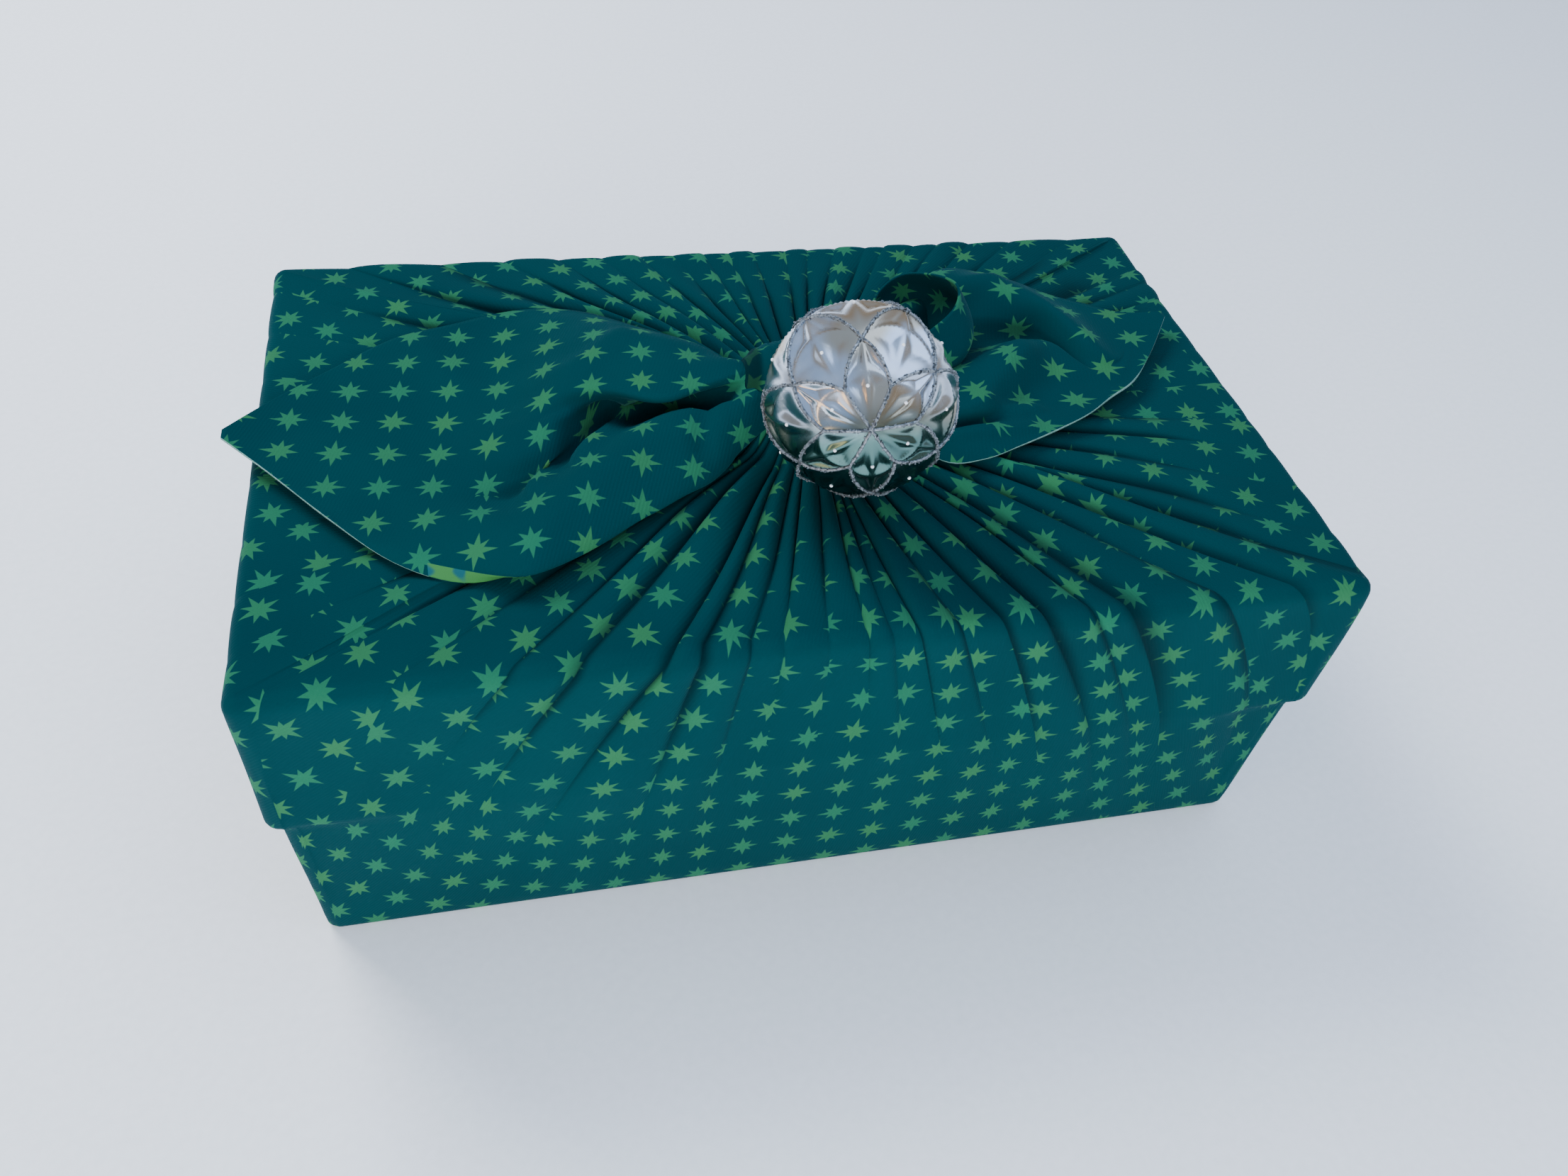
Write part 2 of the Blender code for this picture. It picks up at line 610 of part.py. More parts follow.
def build_bauble(parts):
    frame = bauble_frame()
    silver = material("silvered glass", COLOURS["silver"], 0.15, 1.0)
    ball = add_object("bauble", bauble_mesh(), parts, silver)
    ball.matrix_world = frame
    shape = bmesh.new()
    bmesh.ops.create_cone(shape, cap_ends=True, segments=20, radius1=CAP_RADIUS * MM,
                          radius2=CAP_RADIUS * MM, depth=CAP_HEIGHT * MM)
    mesh = bpy.data.meshes.new("bauble_cap")
    shape.to_mesh(mesh)
    shape.free()
    cap = add_object("bauble_cap", mesh, parts, material("tin cap", COLOURS["cap"], 0.35, 1.0))
    middle = BAUBLE_RADIUS + GAP + CAP_HEIGHT / 2
    cap.matrix_world = frame @ Matrix.Translation((0, 0, -middle * MM))


def main():
    for old in list(bpy.data.objects):
        bpy.data.objects.remove(old)
    parts = bpy.data.collections.new("furoshiki_wrap")
    cutters = bpy.data.collections.new("helpers")
    for collection in (parts, cutters):
        bpy.context.scene.collection.children.link(collection)
    cutters.hide_render = True
    build_wrap(parts, cutters)
    build_box(parts, cutters)
    build_bauble(parts)


main()
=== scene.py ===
import json
import math
import random

import bmesh
import bpy
import numpy as np
from mathutils import Matrix, Vector, noise

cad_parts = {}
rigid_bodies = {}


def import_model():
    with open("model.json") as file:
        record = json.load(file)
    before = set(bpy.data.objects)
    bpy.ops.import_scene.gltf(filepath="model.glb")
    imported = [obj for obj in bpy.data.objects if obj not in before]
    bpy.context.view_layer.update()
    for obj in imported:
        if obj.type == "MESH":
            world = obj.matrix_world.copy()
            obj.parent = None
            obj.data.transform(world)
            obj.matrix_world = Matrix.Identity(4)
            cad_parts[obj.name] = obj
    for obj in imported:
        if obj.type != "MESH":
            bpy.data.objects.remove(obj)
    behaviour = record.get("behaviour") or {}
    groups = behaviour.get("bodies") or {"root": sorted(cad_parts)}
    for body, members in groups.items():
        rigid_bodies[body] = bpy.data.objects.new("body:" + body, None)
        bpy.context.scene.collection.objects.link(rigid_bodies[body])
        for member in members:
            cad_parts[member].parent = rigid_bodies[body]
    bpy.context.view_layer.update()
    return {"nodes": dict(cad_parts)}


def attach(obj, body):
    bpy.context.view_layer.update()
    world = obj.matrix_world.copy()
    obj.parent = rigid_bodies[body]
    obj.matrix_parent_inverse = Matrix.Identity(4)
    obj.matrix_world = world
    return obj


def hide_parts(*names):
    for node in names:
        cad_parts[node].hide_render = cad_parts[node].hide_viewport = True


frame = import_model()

mm = 0.001


# sRGB hex to the linear colour that a shader takes
def hexColour(text):
    parts = [int(text[i:i + 2], 16) / 255 for i in (1, 3, 5)]
    return tuple(c / 12.92 if c <= 0.04045 else ((c + 0.055) / 1.055) ** 2.4 for c in parts) + (1.0,)


# feeds a node's inputs, by name or by number as i0 and i1, with values, hex colours, sockets to
# link from, or nodes, whose first output in use is linked
def feed(tree, node, **inputs):
    for name, value in inputs.items():
        numbered = name[0] == "i" and name[1:].isdigit()
        socket = node.inputs[int(name[1:]) if numbered else name.replace("_", " ")]
        if isinstance(value, bpy.types.Node):
            value = next(output for output in value.outputs if output.enabled)
        if isinstance(value, bpy.types.NodeSocket):
            tree.links.new(value, socket)
        else:
            socket.default_value = hexColour(value) if isinstance(value, str) else value
    return node


# adds one node; settings are its own properties
def addNode(tree, kind, settings=None, **inputs):
    node = tree.nodes.new(kind)
    for name, value in (settings or {}).items():
        setattr(node, name, value)
    return feed(tree, node, **inputs)


# settings that many nodes share: colours to mix, and a step that is eased at both ends
colours, eased = {"data_type": "RGBA"}, {"interpolation_type": "SMOOTHSTEP"}


def newMaterial(name):
    made = bpy.data.materials.new(name)
    made.use_nodes = True
    return made, made.node_tree, made.node_tree.nodes["Principled BSDF"]


def newObject(name, data):
    made = bpy.data.objects.new(name, data)
    bpy.context.scene.collection.objects.link(made)
    return made


def smooth(value):
    value = np.clip(value, 0.0, 1.0)
    return value * value * (3.0 - 2.0 * value)


# camera at the photo's viewpoint; its place was solved from the parcel's own edges
camera = {
    "lens": 28.39, "sensor": 36.0, "at": (-0.091735, -0.337339, 0.396095),
    "right": (0.9749415, -0.20745674, 0.08031669),
    "down": (-0.09368505, -0.71034423, -0.6975917),
    "forward": (0.2017726, 0.67258663, -0.71197966),
}
cameraData = bpy.data.cameras.new("photoView")
cameraData.lens, cameraData.sensor_width = camera["lens"], camera["sensor"]
cameraData.clip_start = 0.01
cameraObject = newObject("photoView", cameraData)
turn = Matrix((camera["right"], -Vector(camera["down"]), -Vector(camera["forward"])))
cameraObject.matrix_world = Matrix.Translation(camera["at"]) @ turn.transposed().to_4x4()
bpy.context.scene.camera = cameraObject
print("camera placed")


# the wrapped parcel, in millimetres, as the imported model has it
parcel = {
    "length": 350.0, "depth": 218.0, "height": 129.0, "corner": 4.5, "thickness": 0.8,
    "knot": (10.0, -2.0), "neckRadius": 12.0, "neckRise": 17.0, "neckReach": 24.0,
    "topRings": 28, "rollRings": 5, "rim": 71.0, "spanInset": 5.3, "ledgeFade": 45.0,
    "foot": 3.0, "streakReach": 55.0,
    "sideProfile": ((124.5, 0.0), (98.0, 0.0), (84.0, 0.0), (72.4, 0.0), (70.8, 0.3), (69.2, 1.5),
                    (67.4, 2.8), (64.0, 3.3), (36.0, 4.3), (6.0, 5.1), (2.6, 5.3), (0.9, 5.9),
                    (0.2, 7.0), (0.0, 8.0)),
    "sideHeights": (122, 119, 115.5, 112, 108, 104, 100, 95.5, 91, 86.5, 82, 77.5, 74.5, 72.4, 70.8, 69.2,
                    67.4, 64, 60, 54, 48, 41, 34, 27, 20, 13, 7, 2.6, 0.9, 0.2, 0.0),
    "underRings": (0.8, 0.5, 0.2),
}

# creases of each side, seen from outside, left to right: where one crosses the top edge, the
# rise of the pleat after it on top, its rise over the edge, how far it runs down the side, and
# how far sideways it moves for each millimetre down. Chance alters the first two a little, the
# rise over the edge grows with the run, and the sideways move fades towards the side's end
creaseTable = {
    "front": (
        (-163, 4.0, 1.5, 16, -0.40), (-128, 5.0, 1.2, 32, -0.60), (-96, 7.0, 1.5, 40, -0.75),
        (-78, 7.0, 1.5, 60, -0.70), (-51, 5.0, 1.6, 88, -0.67), (-44, 6.5, 1.6, 76, -0.26),
        (-31, 5.5, 1.1, 18, -0.15), (-20, 5.0, 1.1, 42, -0.05), (-8, 5.0, 1.1, 15, 0.00),
        (3, 5.0, 1.1, 48, 0.12), (13, 5.0, 1.1, 15, 0.20), (21, 5.0, 1.3, 76, 0.30),
        (34, 5.5, 1.2, 18, 0.38), (47, 6.0, 1.5, 86, 0.45), (60, 6.5, 1.6, 78, 0.60),
        (76, 6.5, 1.5, 40, 0.60), (88, 7.0, 1.6, 92, 0.62), (118, 4.5, 1.1, 22, 0.80),
        (144, 6.0, 1.3, 45, 0.90),
    ),
    "right": (
        (-99, 7.0, 2.1, 26, 0.35), (-82, 6.5, 2.0, 22, 0.30), (-60, 5.0, 1.3, 20, 0.24),
        (-38, 5.0, 1.6, 26, 0.16), (-20, 2.2, 1.4, 24, 0.10), (0, 2.0, 1.1, 20, 0.00),
        (22, 2.0, 1.1, 20, 0.00), (44, 2.2, 1.2, 18, 0.15), (58, 6.0, 2.5, 34, 0.25),
        (69, 6.0, 2.8, 34, 0.30), (79, 5.5, 2.3, 26, 0.40),
    ),
    "back": (
        (-150, 5.0, 1.3, 40, -0.80), (-124, 5.0, 1.2, 30, -0.70), (-104, 5.5, 1.5, 70, -0.60),
        (-90, 5.5, 1.3, 30, -0.55), (-79, 5.0, 1.2, 55, -0.50), (-68, 5.0, 1.2, 22, -0.45),
        (-58, 5.0, 1.2, 62, -0.40), (-46, 5.0, 1.1, 22, -0.30), (-35, 5.0, 1.1, 48, -0.20),
        (-24, 5.0, 1.1, 18, -0.12), (-13, 5.0, 1.1, 50, -0.05), (-2, 5.0, 1.1, 18, 0.00),
        (9, 5.0, 1.1, 44, 0.08), (21, 5.0, 1.2, 20, 0.15), (34, 5.5, 1.3, 64, 0.28),
        (49, 5.5, 1.3, 28, 0.40), (66, 6.0, 1.5, 74, 0.50), (86, 6.5, 1.7, 30, 0.60),
        (112, 7.0, 1.9, 58, 0.65), (146, 6.0, 1.5, 30, 0.60),
    ),
    "left": (
        (-90, 5.5, 1.2, 30, -0.50), (-64, 2.6, 1.0, 24, -0.35), (-38, 2.0, 0.9, 20, -0.20),
        (-12, 2.0, 0.8, 18, 0.00), (14, 2.0, 0.9, 18, 0.10), (40, 2.6, 1.0, 22, 0.30),
        (66, 4.0, 1.1, 26, 0.45), (86, 4.5, 1.2, 20, 0.50),
    ),
}

halfX, halfY = parcel["length"] / 2, parcel["depth"] / 2
# outward direction, half its length, and how far out it lies
sideTable = (
    ("front", (0, -1), halfX, halfY), ("right", (1, 0), halfY, halfX),
    ("back", (0, 1), halfX, halfY), ("left", (-1, 0), halfY, halfX),
)
girth = 2 * (parcel["length"] + parcel["depth"])
# places round the parcel, from the front left corner, where its sides start
sideStarts = (0.0, parcel["length"], parcel["length"] + parcel["depth"], girth - parcel["depth"])

# what is drawn at random for each pleat: its place, the shares of its width that its two flanks
# take, its rise, and how far it sags. The broad ones are round folds, the others like knife pleats
pleats = {
    "seed": 11, "stagger": 1.5, "steep": (0.07, 0.15), "gentle": (0.16, 0.36), "steepFirst": 0.6,
    "uneven": (0.55, 1.4), "bow": (0.0, 0.3), "swell": 0.35,
    "broad": 2.4, "broadFrom": 70, "high": 6.5, "highBroad": 1.7,
    "fullRun": 42, "edgeLeast": 0.3, "edgeMost": 1.35, "frontEdge": 1.25, "otherEdge": 0.6,
    "spokes": ((11, 7), (17, 8), (1e9, 10)),        # up to this width, this many spokes
    "leastGap": 0.12, "room": 0.6, "edgeFrom": 0.4, "ringPower": 1.25, "runFade": 1.7, "shadeRise": 2.2,
}
# waves over the cloth: height, how fine round the parcel, how fine along a spoke, and a seed
waveTable = {
    "sway": (4.0, 0.02, 0.012, 4), "streaks": (1.2, 0.42, 0.012, 9), "swells": (1.1, 0.05, 0.02, 2),
    "wrinkles": (0.45, 0.14, 0.015, 6), "sideSwells": (0.6, 0.035, 0.02, 5),
    "sideWrinkles": (0.5, 0.12, 0.015, 7),
}


def allCreases():
    found, rng = [], random.Random(pleats["seed"])
    for side, (name, out, half, away) in enumerate(sideTable):
        for at, rise, edge, run, slope in creaseTable[name]:
            at += rng.uniform(-pleats["stagger"], pleats["stagger"])
            broad = pleats["highBroad"] if rise >= pleats["high"] else 1.0
            if name == "right" or (name == "front" and at > pleats["broadFrom"]):
                broad = pleats["broad"]
            flanks = [rng.uniform(*pleats["steep"]) * broad, rng.uniform(*pleats["gentle"]) * broad]
            if rng.random() >= pleats["steepFirst"]:
                flanks.reverse()
            longer = min(pleats["edgeMost"], max(pleats["edgeLeast"], run / pleats["fullRun"]))
            found.append({
                "at": at, "rise": rise * rng.uniform(*pleats["uneven"]), "run": run,
                "edge": edge * longer * pleats["frontEdge" if name == "front" else "otherEdge"],
                "slope": slope, "side": side, "round": sideStarts[side] + half + at,
                "near": flanks[0], "far": flanks[1], "bow": rng.uniform(*pleats["bow"]),
            })
    for crease, following in zip(found, found[1:] + found[:1]):
        crease["width"] = (following["round"] - crease["round"]) % girth
    return found


# one flank of a pleat: from 0 at the crease, a little past 1, and settling at 1
def flankLift(share, reach):
    up = share / reach
    return 1 - math.exp(-up) * (1 - pleats["swell"] * up)


# height of a pleat across its width, from 0 at a crease to about 1
def pleatLift(across, crease):
    if not 0 < across < 1:
        return 0.0
    lift = flankLift(across, crease["near"]) * flankLift(1 - across, crease["far"])
    return lift * (1 - crease["bow"] * (1 - math.sin(math.pi * across)))


# the side that a place round the parcel is on, and how far along it from its middle
def sideOf(place):
    place %= girth
    for side, (name, out, half, away) in enumerate(sideTable):
        if place < 2 * half:
            return side, place - half
        place -= 2 * half
    return 0, -sideTable[0][2]


# a point of the parcel's outline at a place round it, drawn in by inset and moved along its side
def outlineAt(place, inset=0.0, moved=0.0):
    side, along = sideOf(place)
    out, half, away = sideTable[side][1:]
    out = Vector(out)
    tangent = Vector((-out.y, out.x))
    corner = parcel["corner"]
    straight = half - corner
    if abs(along) <= straight:
        along = (along + moved) * (straight - inset) / straight
        return out * (away - inset) + tangent * along, out
    sign = math.copysign(1.0, along)
    angle = math.radians(45.0) * (abs(along) - straight) / corner * sign
    centre = out * (away - corner - inset) + tangent * (straight - inset) * sign
    direction = out * math.cos(angle) + tangent * math.sin(angle)
    return centre + direction * corner, direction


def slopeAt(side, along, creases):
    half = sideTable[side][2]
    knots = [(-half, 0.0)] + [(c["at"], c["slope"]) for c in creases if c["side"] == side] + [(half, 0.0)]
    return float(np.interp(along, *zip(*knots)))


# noise that closes on itself round the parcel
def roundNoise(kind, place, distance):
    height, fine, fineAlong, seed = waveTable[kind]
    angle, reach = 2 * math.pi * place / girth, girth / (2 * math.pi) * fine
    spot = Vector((reach * math.cos(angle), reach * math.sin(angle), distance * fineAlong + seed))
    return height * noise.noise(spot)


# the spokes from the neck down to the underside, as (place, crease before it, share of its width);
# they stand close at the creases and round the corners
def spokeList(creases):
    spokes, corner = [], parcel["corner"]
    for index, crease in enumerate(creases):
        count = next(number for widest, number in pleats["spokes"] if crease["width"] < widest)
        for step in range(count):
            across = 0.5 - 0.5 * math.cos(math.pi * step / count)
            spokes.append(((crease["round"] + crease["width"] * across) % girth, index, across))
    for start in sideStarts:
        fromStart = [abs((s[0] - start + girth / 2) % girth - girth / 2) for s in spokes]
        spokes = [s for s, gap in zip(spokes, fromStart) if s[2] == 0 or gap > corner * 1.3]
        for step in range(-3, 4):
            place = (start + step * corner / 3) % girth
            for index, crease in enumerate(creases):
                past = (place - crease["round"]) % girth
                if past < crease["width"]:
                    spokes.append((place, index, past / crease["width"]))
                    break
    return sorted(spokes)


# inset of the side: cloth follows the lid's ledge near the upright corners, and spans it elsewhere
def insetAt(z, fromCorner):
    profile = parcel["sideProfile"][::-1]
    inset = float(np.interp(z, *zip(*profile)))
    if z < parcel["foot"]:
        return inset
    taut = parcel["spanInset"] * max(0.0, 1.0 - z / parcel["rim"])
    share = float(smooth(fromCorner / parcel["ledgeFade"]))
    return inset * (1 - share) + min(inset, taut) * share


# how far a spoke has moved along its side after this much cloth past the top's edge
def driftAt(along, straight, slope, run):
    if abs(along) >= straight or not slope:
        return 0.0
    end = math.copysign(straight, slope)
    spare = abs(end - along)
    left = max(pleats["leastGap"], math.exp(-abs(slope) * run / spare))     # never quite closed up
    return end - math.copysign(spare * left, slope) - along


# one spoke of the cloth, from its neck over the top's edge down to the underside, and for each
# point how far out of a crease it lies, from 0 in the crease to 1, which sets the painted shade in the crease
def spokePoints(spoke, creases):
    place, index, across = spoke
    crease = creases[index]
    lift = pleatLift(across, crease)
    edgePoint, out = outlineAt(place)
    knot, corner, height = Vector(parcel["knot"]), parcel["corner"], parcel["height"]
    inner = edgePoint - out * corner
    reach = (inner - knot).length
    heading = (inner - knot).normalized()
    sideways = Vector((-heading.y, heading.x))
    points, folds = [], []

    def addPoint(plan, z, rise, share=1.0):
        points.append((plan.x, plan.y, z))
        folds.append(1.0 - (1.0 - lift) * share * min(1.0, rise / pleats["shadeRise"]))

    for share in np.linspace(0.0, 1.0, parcel["topRings"]):
        radius = parcel["neckRadius"] + (reach - parcel["neckRadius"]) * share ** pleats["ringPower"]
        room = pleats["room"] * (crease["width"] * radius / reach + 1)
        blend = float(smooth((share - pleats["edgeFrom"]) / (1 - pleats["edgeFrom"])))
        rise = min(crease["rise"], room) * (1 - blend) + crease["edge"] * blend
        fromNeck = float(smooth((radius - parcel["neckRadius"]) / parcel["neckReach"]))
        neck = parcel["neckRise"] * (1.0 - fromNeck)
        calm = math.sin(math.pi * share)
        streaks = math.exp(-radius / parcel["streakReach"]) * roundNoise("streaks", place, radius)
        waves = roundNoise("swells", place, radius) + roundNoise("wrinkles", place, radius) + streaks
        plan = knot + heading * radius + sideways * (calm * roundNoise("sway", place, radius))
        addPoint(plan, height + neck + rise * lift + calm * waves, rise)
    bulge = corner + crease["edge"] * lift
    side, along = sideOf(place)
    straight = sideTable[side][2] - corner
    slope = slopeAt(side, along, creases)
    tangent = Vector((-out.y, out.x))
    for step in range(1, parcel["rollRings"] + 1):
        angle = math.pi / 2 * step / (parcel["rollRings"] + 1)
        moved = tangent * driftAt(along, straight, slope, corner * angle)
        plan = inner + out * bulge * math.sin(angle) + moved
        addPoint(plan, height - corner + bulge * math.cos(angle), crease["edge"])
    for z in (height - corner,) + parcel["sideHeights"]:
        down = height - z
        fade = 1.0 - float(smooth(down / crease["run"] / pleats["runFade"])) if z > parcel["foot"] else 0.0
        moved = driftAt(along, straight, slope, down - corner + corner * math.pi / 2)
        plan, out = outlineAt(place, insetAt(z, straight - abs(along + moved)), moved)
        calm = float(smooth((z - 2) / 20)) * float(smooth(down / 12))
        upper = float(smooth((z - 20) / 70))
        crumple = roundNoise("sideSwells", place, down) + upper * roundNoise("sideWrinkles", place, down)
        addPoint(plan + out * (crease["edge"] * lift * fade + calm * crumple), z, crease["edge"], fade)
    return points, folds


# the star print: a square lattice, printed over the whole cloth. Each side keeps its rows level in
# the middle and turns them up to 45 degrees at the corners, where cloth is drawn up from two sides
# and the print meets itself; gain is how much the knit has closed up along the rows
printGrid = {
    "pitch": 16.3, "gain": 1.04, "starHeight": 20.0, "cornerTurn": math.radians(45), "power": 1.1,
    "anchor": 58.0, "crossing": 62.0, "fade": 38.0, "cutReach": 1.25, "samples": 701,
}
plainSpot = (printGrid["pitch"] / 2, printGrid["pitch"] / 2)
# for each side: its middle under the knot, the level stretch beside it, and a star's place
printSides = ((10.0, 45.0, 5.0), (-2.0, 15.0, -3.0), (-10.0, 45.0, 4.0), (2.0, 15.0, -6.0))
edgeHeight = parcel["height"] - parcel["corner"] + parcel["corner"] * math.pi / 2     # along the cloth


# along a side at floor level: the print's turn, and its two coordinates
def printTable(side):
    middle, level, star = printSides[side]
    half, pitch = sideTable[side][2], printGrid["pitch"]
    along = np.linspace(-half, half, printGrid["samples"])
    off = along - middle
    reach = np.where(off < 0, half + middle, half - middle)
    share = np.clip((np.abs(off) - level) / (reach - level), 0, 1)
    turned = np.sign(off) * printGrid["cornerTurn"] * share ** printGrid["power"]
    step = along[1] - along[0]
    u = np.cumsum(np.cos(turned)) * step * printGrid["gain"]
    v = -np.cumsum(np.sin(turned)) * step
    u -= np.interp(star, along, u)
    v -= np.interp(star, along, v) + printGrid["starHeight"]
    for end, part in ((0, off < 0), (-1, off >= 0)):        # a star falls on each corner
        u += share * part * (round(u[end] / pitch) * pitch - u[end])
        v += share * part * (round(v[end] / pitch) * pitch - v[end])
    return along, turned, u, v


# print place on a side where no crease hides cloth, from the distance along it and the height
def sidePrint(table, a, b):
    along, turned, u, v = table
    turn = np.interp(a, along, turned)
    return np.interp(a, along, u) + b * np.sin(turn), np.interp(a, along, v) + b * np.cos(turn), turn


# the cloth laid flat round one side: distance along it and height, running on over the top
def laidFlat(points, spoke, side):
    out, half, away = sideTable[side][1:]
    own, along = sideOf(spoke[0])
    top, roll, corner = parcel["topRings"], parcel["rollRings"], parcel["corner"]
    a = points[:, 1] * out[0] - points[:, 0] * out[1]
    inward = points[:, 0] * out[0] + points[:, 1] * out[1]
    b = points[:, 2].copy()
    b[:top] = edgeHeight + away - corner - inward[:top]
    b[top:top + roll] = edgeHeight - corner * math.pi / 2 * np.arange(1, roll + 1) / (roll + 1)
    if own != side:
        a[top + roll:] = half
    elif abs(along) > half - corner:
        a[top + roll:] = along
    return a[::-1], b[::-1]


# print places of the cloth, strip by strip between creases. A strip shows its own straight piece
# of the print, and what lies between two strips is hidden in their crease, where stars are cut
def printMap(points, spokes, creases):
    count, rings = points.shape[:2]
    tables = [printTable(side) for side in range(4)]
    isCorner = [min(abs(s[0] - start) for start in sideStarts) < 1e-6 for s in spokes]
    bounds = [i for i, s in enumerate(spokes) if s[2] == 0 or isCorner[i]]
    left, right = np.zeros((count, rings, 2)), np.zeros((count, rings, 2))
    for first, last in zip(bounds, bounds[1:] + bounds[:1]):
        inside = [(first + i) % count for i in range((last - first) % count + 1)]
        side = sideOf(spokes[inside[1]][0])[0]
        flat = [laidFlat(points[i], spokes[i], side) for i in inside]
        crossed = np.array([creases[spokes[i][1]]["run"] for i in (inside[0], last)])
        crossed = np.maximum(crossed, printGrid["crossing"])
        gaps = [(spokes[j][0] - spokes[i][0]) % girth for i, j in zip(inside, inside[1:])]
        widths = np.cumsum([0.0] + gaps)
        across = widths / widths[-1]
        atCorner = isCorner[first] or isCorner[last]
        centre = int(np.argmin(np.abs(across - 0.5)))
        if atCorner:
            centre = 0 if isCorner[first] else len(inside) - 1
        a, b = flat[centre]
        anchor = int(np.argmin(np.abs(b - printGrid["anchor"])))
        u0, v0, turn0 = sidePrint(tables[side], a[anchor], b[anchor])
        # above the edge the print's columns run along the pleats, but at a corner it stays at 45 degrees
        half, away = sideTable[side][2:]
        middle = printSides[side][0]
        heading = math.atan2(a[rings - parcel["topRings"]] - middle, away - parcel["corner"])
        sign = math.copysign(1.0, heading)
        limit = math.atan2((half - parcel["corner"]) - sign * middle, away - parcel["corner"])
        turnTop = heading + sign * (printGrid["cornerTurn"] - limit) * min(1.0, abs(heading) / limit) ** 2
        if atCorner:
            turnTop = turn0
        risen = smooth((b - printGrid["anchor"]) / (edgeHeight - printGrid["anchor"]))
        turned = turn0 + (turnTop - turn0) * risen
        between = (turned[1:] + turned[:-1]) / 2
        da, db = np.diff(a), np.diff(b)
        u = np.concatenate(([0.0], np.cumsum(np.cos(between) * da + np.sin(between) * db)))
        v = np.concatenate(([0.0], np.cumsum(np.cos(between) * db - np.sin(between) * da)))
        u += u0 - u[anchor]
        v += v0 - v[anchor]
        for n, i in enumerate(inside):
            aHere, bHere = flat[n]
            freeU, freeV = sidePrint(tables[side], aHere, bHere)[:2]
            run = crossed[0] * (1 - across[n]) + crossed[1] * across[n]
            share = smooth((bHere - (edgeHeight - printGrid["cutReach"] * run)) / printGrid["fade"])
            ownU = u + np.cos(turned) * (aHere - a) + np.sin(turned) * (bHere - b)
            ownV = v + np.cos(turned) * (bHere - b) - np.sin(turned) * (aHere - a)
            pair = np.stack((freeU + (ownU - freeU) * share, freeV + (ownV - freeV) * share), axis=1)[::-1]
            if n < len(inside) - 1:
                left[i] = pair
            if n > 0:
                right[inside[n - 1]] = pair
    return left, right          # print place of each spoke, and of the next one seen from it


# gathers points, faces, print places and fold depths of all that becomes the cloth; the fold depths set the
# painted shade in creases and hollows
class ClothParts:
    def __init__(self):
        self.points, self.faces, self.prints, self.folds, self.skins = [], [], [], [], []

    def add(self, points, faces, prints, folds, skins=None):
        base = len(self.points)
        self.points += [tuple(p) for p in points]
        self.faces += [tuple(i + base for i in face) for face in faces]
        self.prints += prints
        self.folds += list(folds)
        self.skins += list(skins) if skins else [0] * len(faces)


cloth = ClothParts()


def addWrapBody():
    creases = allCreases()
    spokes = spokeList(creases)
    made = [spokePoints(spoke, creases) for spoke in spokes]
    points = np.array([m[0] for m in made], dtype=float)
    folds = np.array([m[1] for m in made], dtype=float)
    left, right = printMap(points, spokes, creases)
    count, rings = points.shape[:2]
    under = np.array([[(x * s, y * s, 0.0) for s in parcel["underRings"]] for x, y, z in points[:, -1]])
    grid = np.concatenate((points, under), axis=1)
    folds = np.concatenate((folds, np.ones((count, under.shape[1]))), axis=1)
    width = grid.shape[1]
    faces, prints = [], []
    top, bottom = count * width, count * width + 1      # the middles of the neck and of the underside
    for i in range(count):
        j = (i + 1) % count
        for k in range(width - 1):
            faces.append((i * width + k, i * width + k + 1, j * width + k + 1, j * width + k))
            if k < rings - 1:
                prints.append((left[i, k], left[i, k + 1], right[i, k + 1], right[i, k]))
            else:
                flat = [grid[i, k], grid[i, k + 1], grid[j, k + 1], grid[j, k]]
                prints.append([(p[0], p[1]) for p in flat])
        faces += [(top, i * width, j * width), (bottom, j * width + width - 1, i * width + width - 1)]
        prints += [[left[i, 0], left[i, 0], right[i, 0]], [(0, 0), grid[j, -1][:2], grid[i, -1][:2]]]
    middles = [(*parcel["knot"], parcel["height"] + parcel["neckRise"]), (0.0, 0.0, 0.0)]
    points = list(grid.reshape(-1, 3)) + middles
    cloth.add(points, faces, prints, list(folds.reshape(-1)) + [1.0, 1.0], [3] * len(faces))
    print("wrap body:", count, "spokes,", width, "rings")


# a smooth curve through these points, with this many steps between neighbours
def throughPoints(points, steps):
    points = np.asarray(points, dtype=float)
    found = []
    for i in range(len(points) - 1):
        p0, p1 = points[max(i - 1, 0)], points[i]
        p2, p3 = points[i + 1], points[min(i + 2, len(points) - 1)]
        for step in range(steps):
            t = step / steps
            found.append(0.5 * (2 * p1 + (p2 - p0) * t + (2 * p0 - 5 * p1 + 4 * p2 - p3) * t * t
                                + (3 * p1 - p0 - 3 * p2 + p3) * t ** 3))
    found.append(points[-1])
    return np.array(found)


# a smooth surface through rows of points
def surfaceThrough(rows, steps, stations):
    across = np.array([throughPoints(row, steps) for row in rows])
    return np.array([throughPoints(line, stations) for line in across.swapaxes(0, 1)]).swapaxes(0, 1)


# lengths along lines of points, from 0 at the start of each
def lengthsAlong(lines):
    steps = np.linalg.norm(np.diff(lines, axis=-2), axis=-1)
    return np.concatenate((np.zeros(steps.shape[:-1] + (1,)), np.cumsum(steps, axis=-1)), axis=-1)


# the four corners of each cell of a grid
def gridCells(rows, columns):
    for i in range(rows - 1):
        for j in range(columns - 1):
            yield [(i, j), (i + 1, j), (i + 1, j + 1), (i, j + 1)]


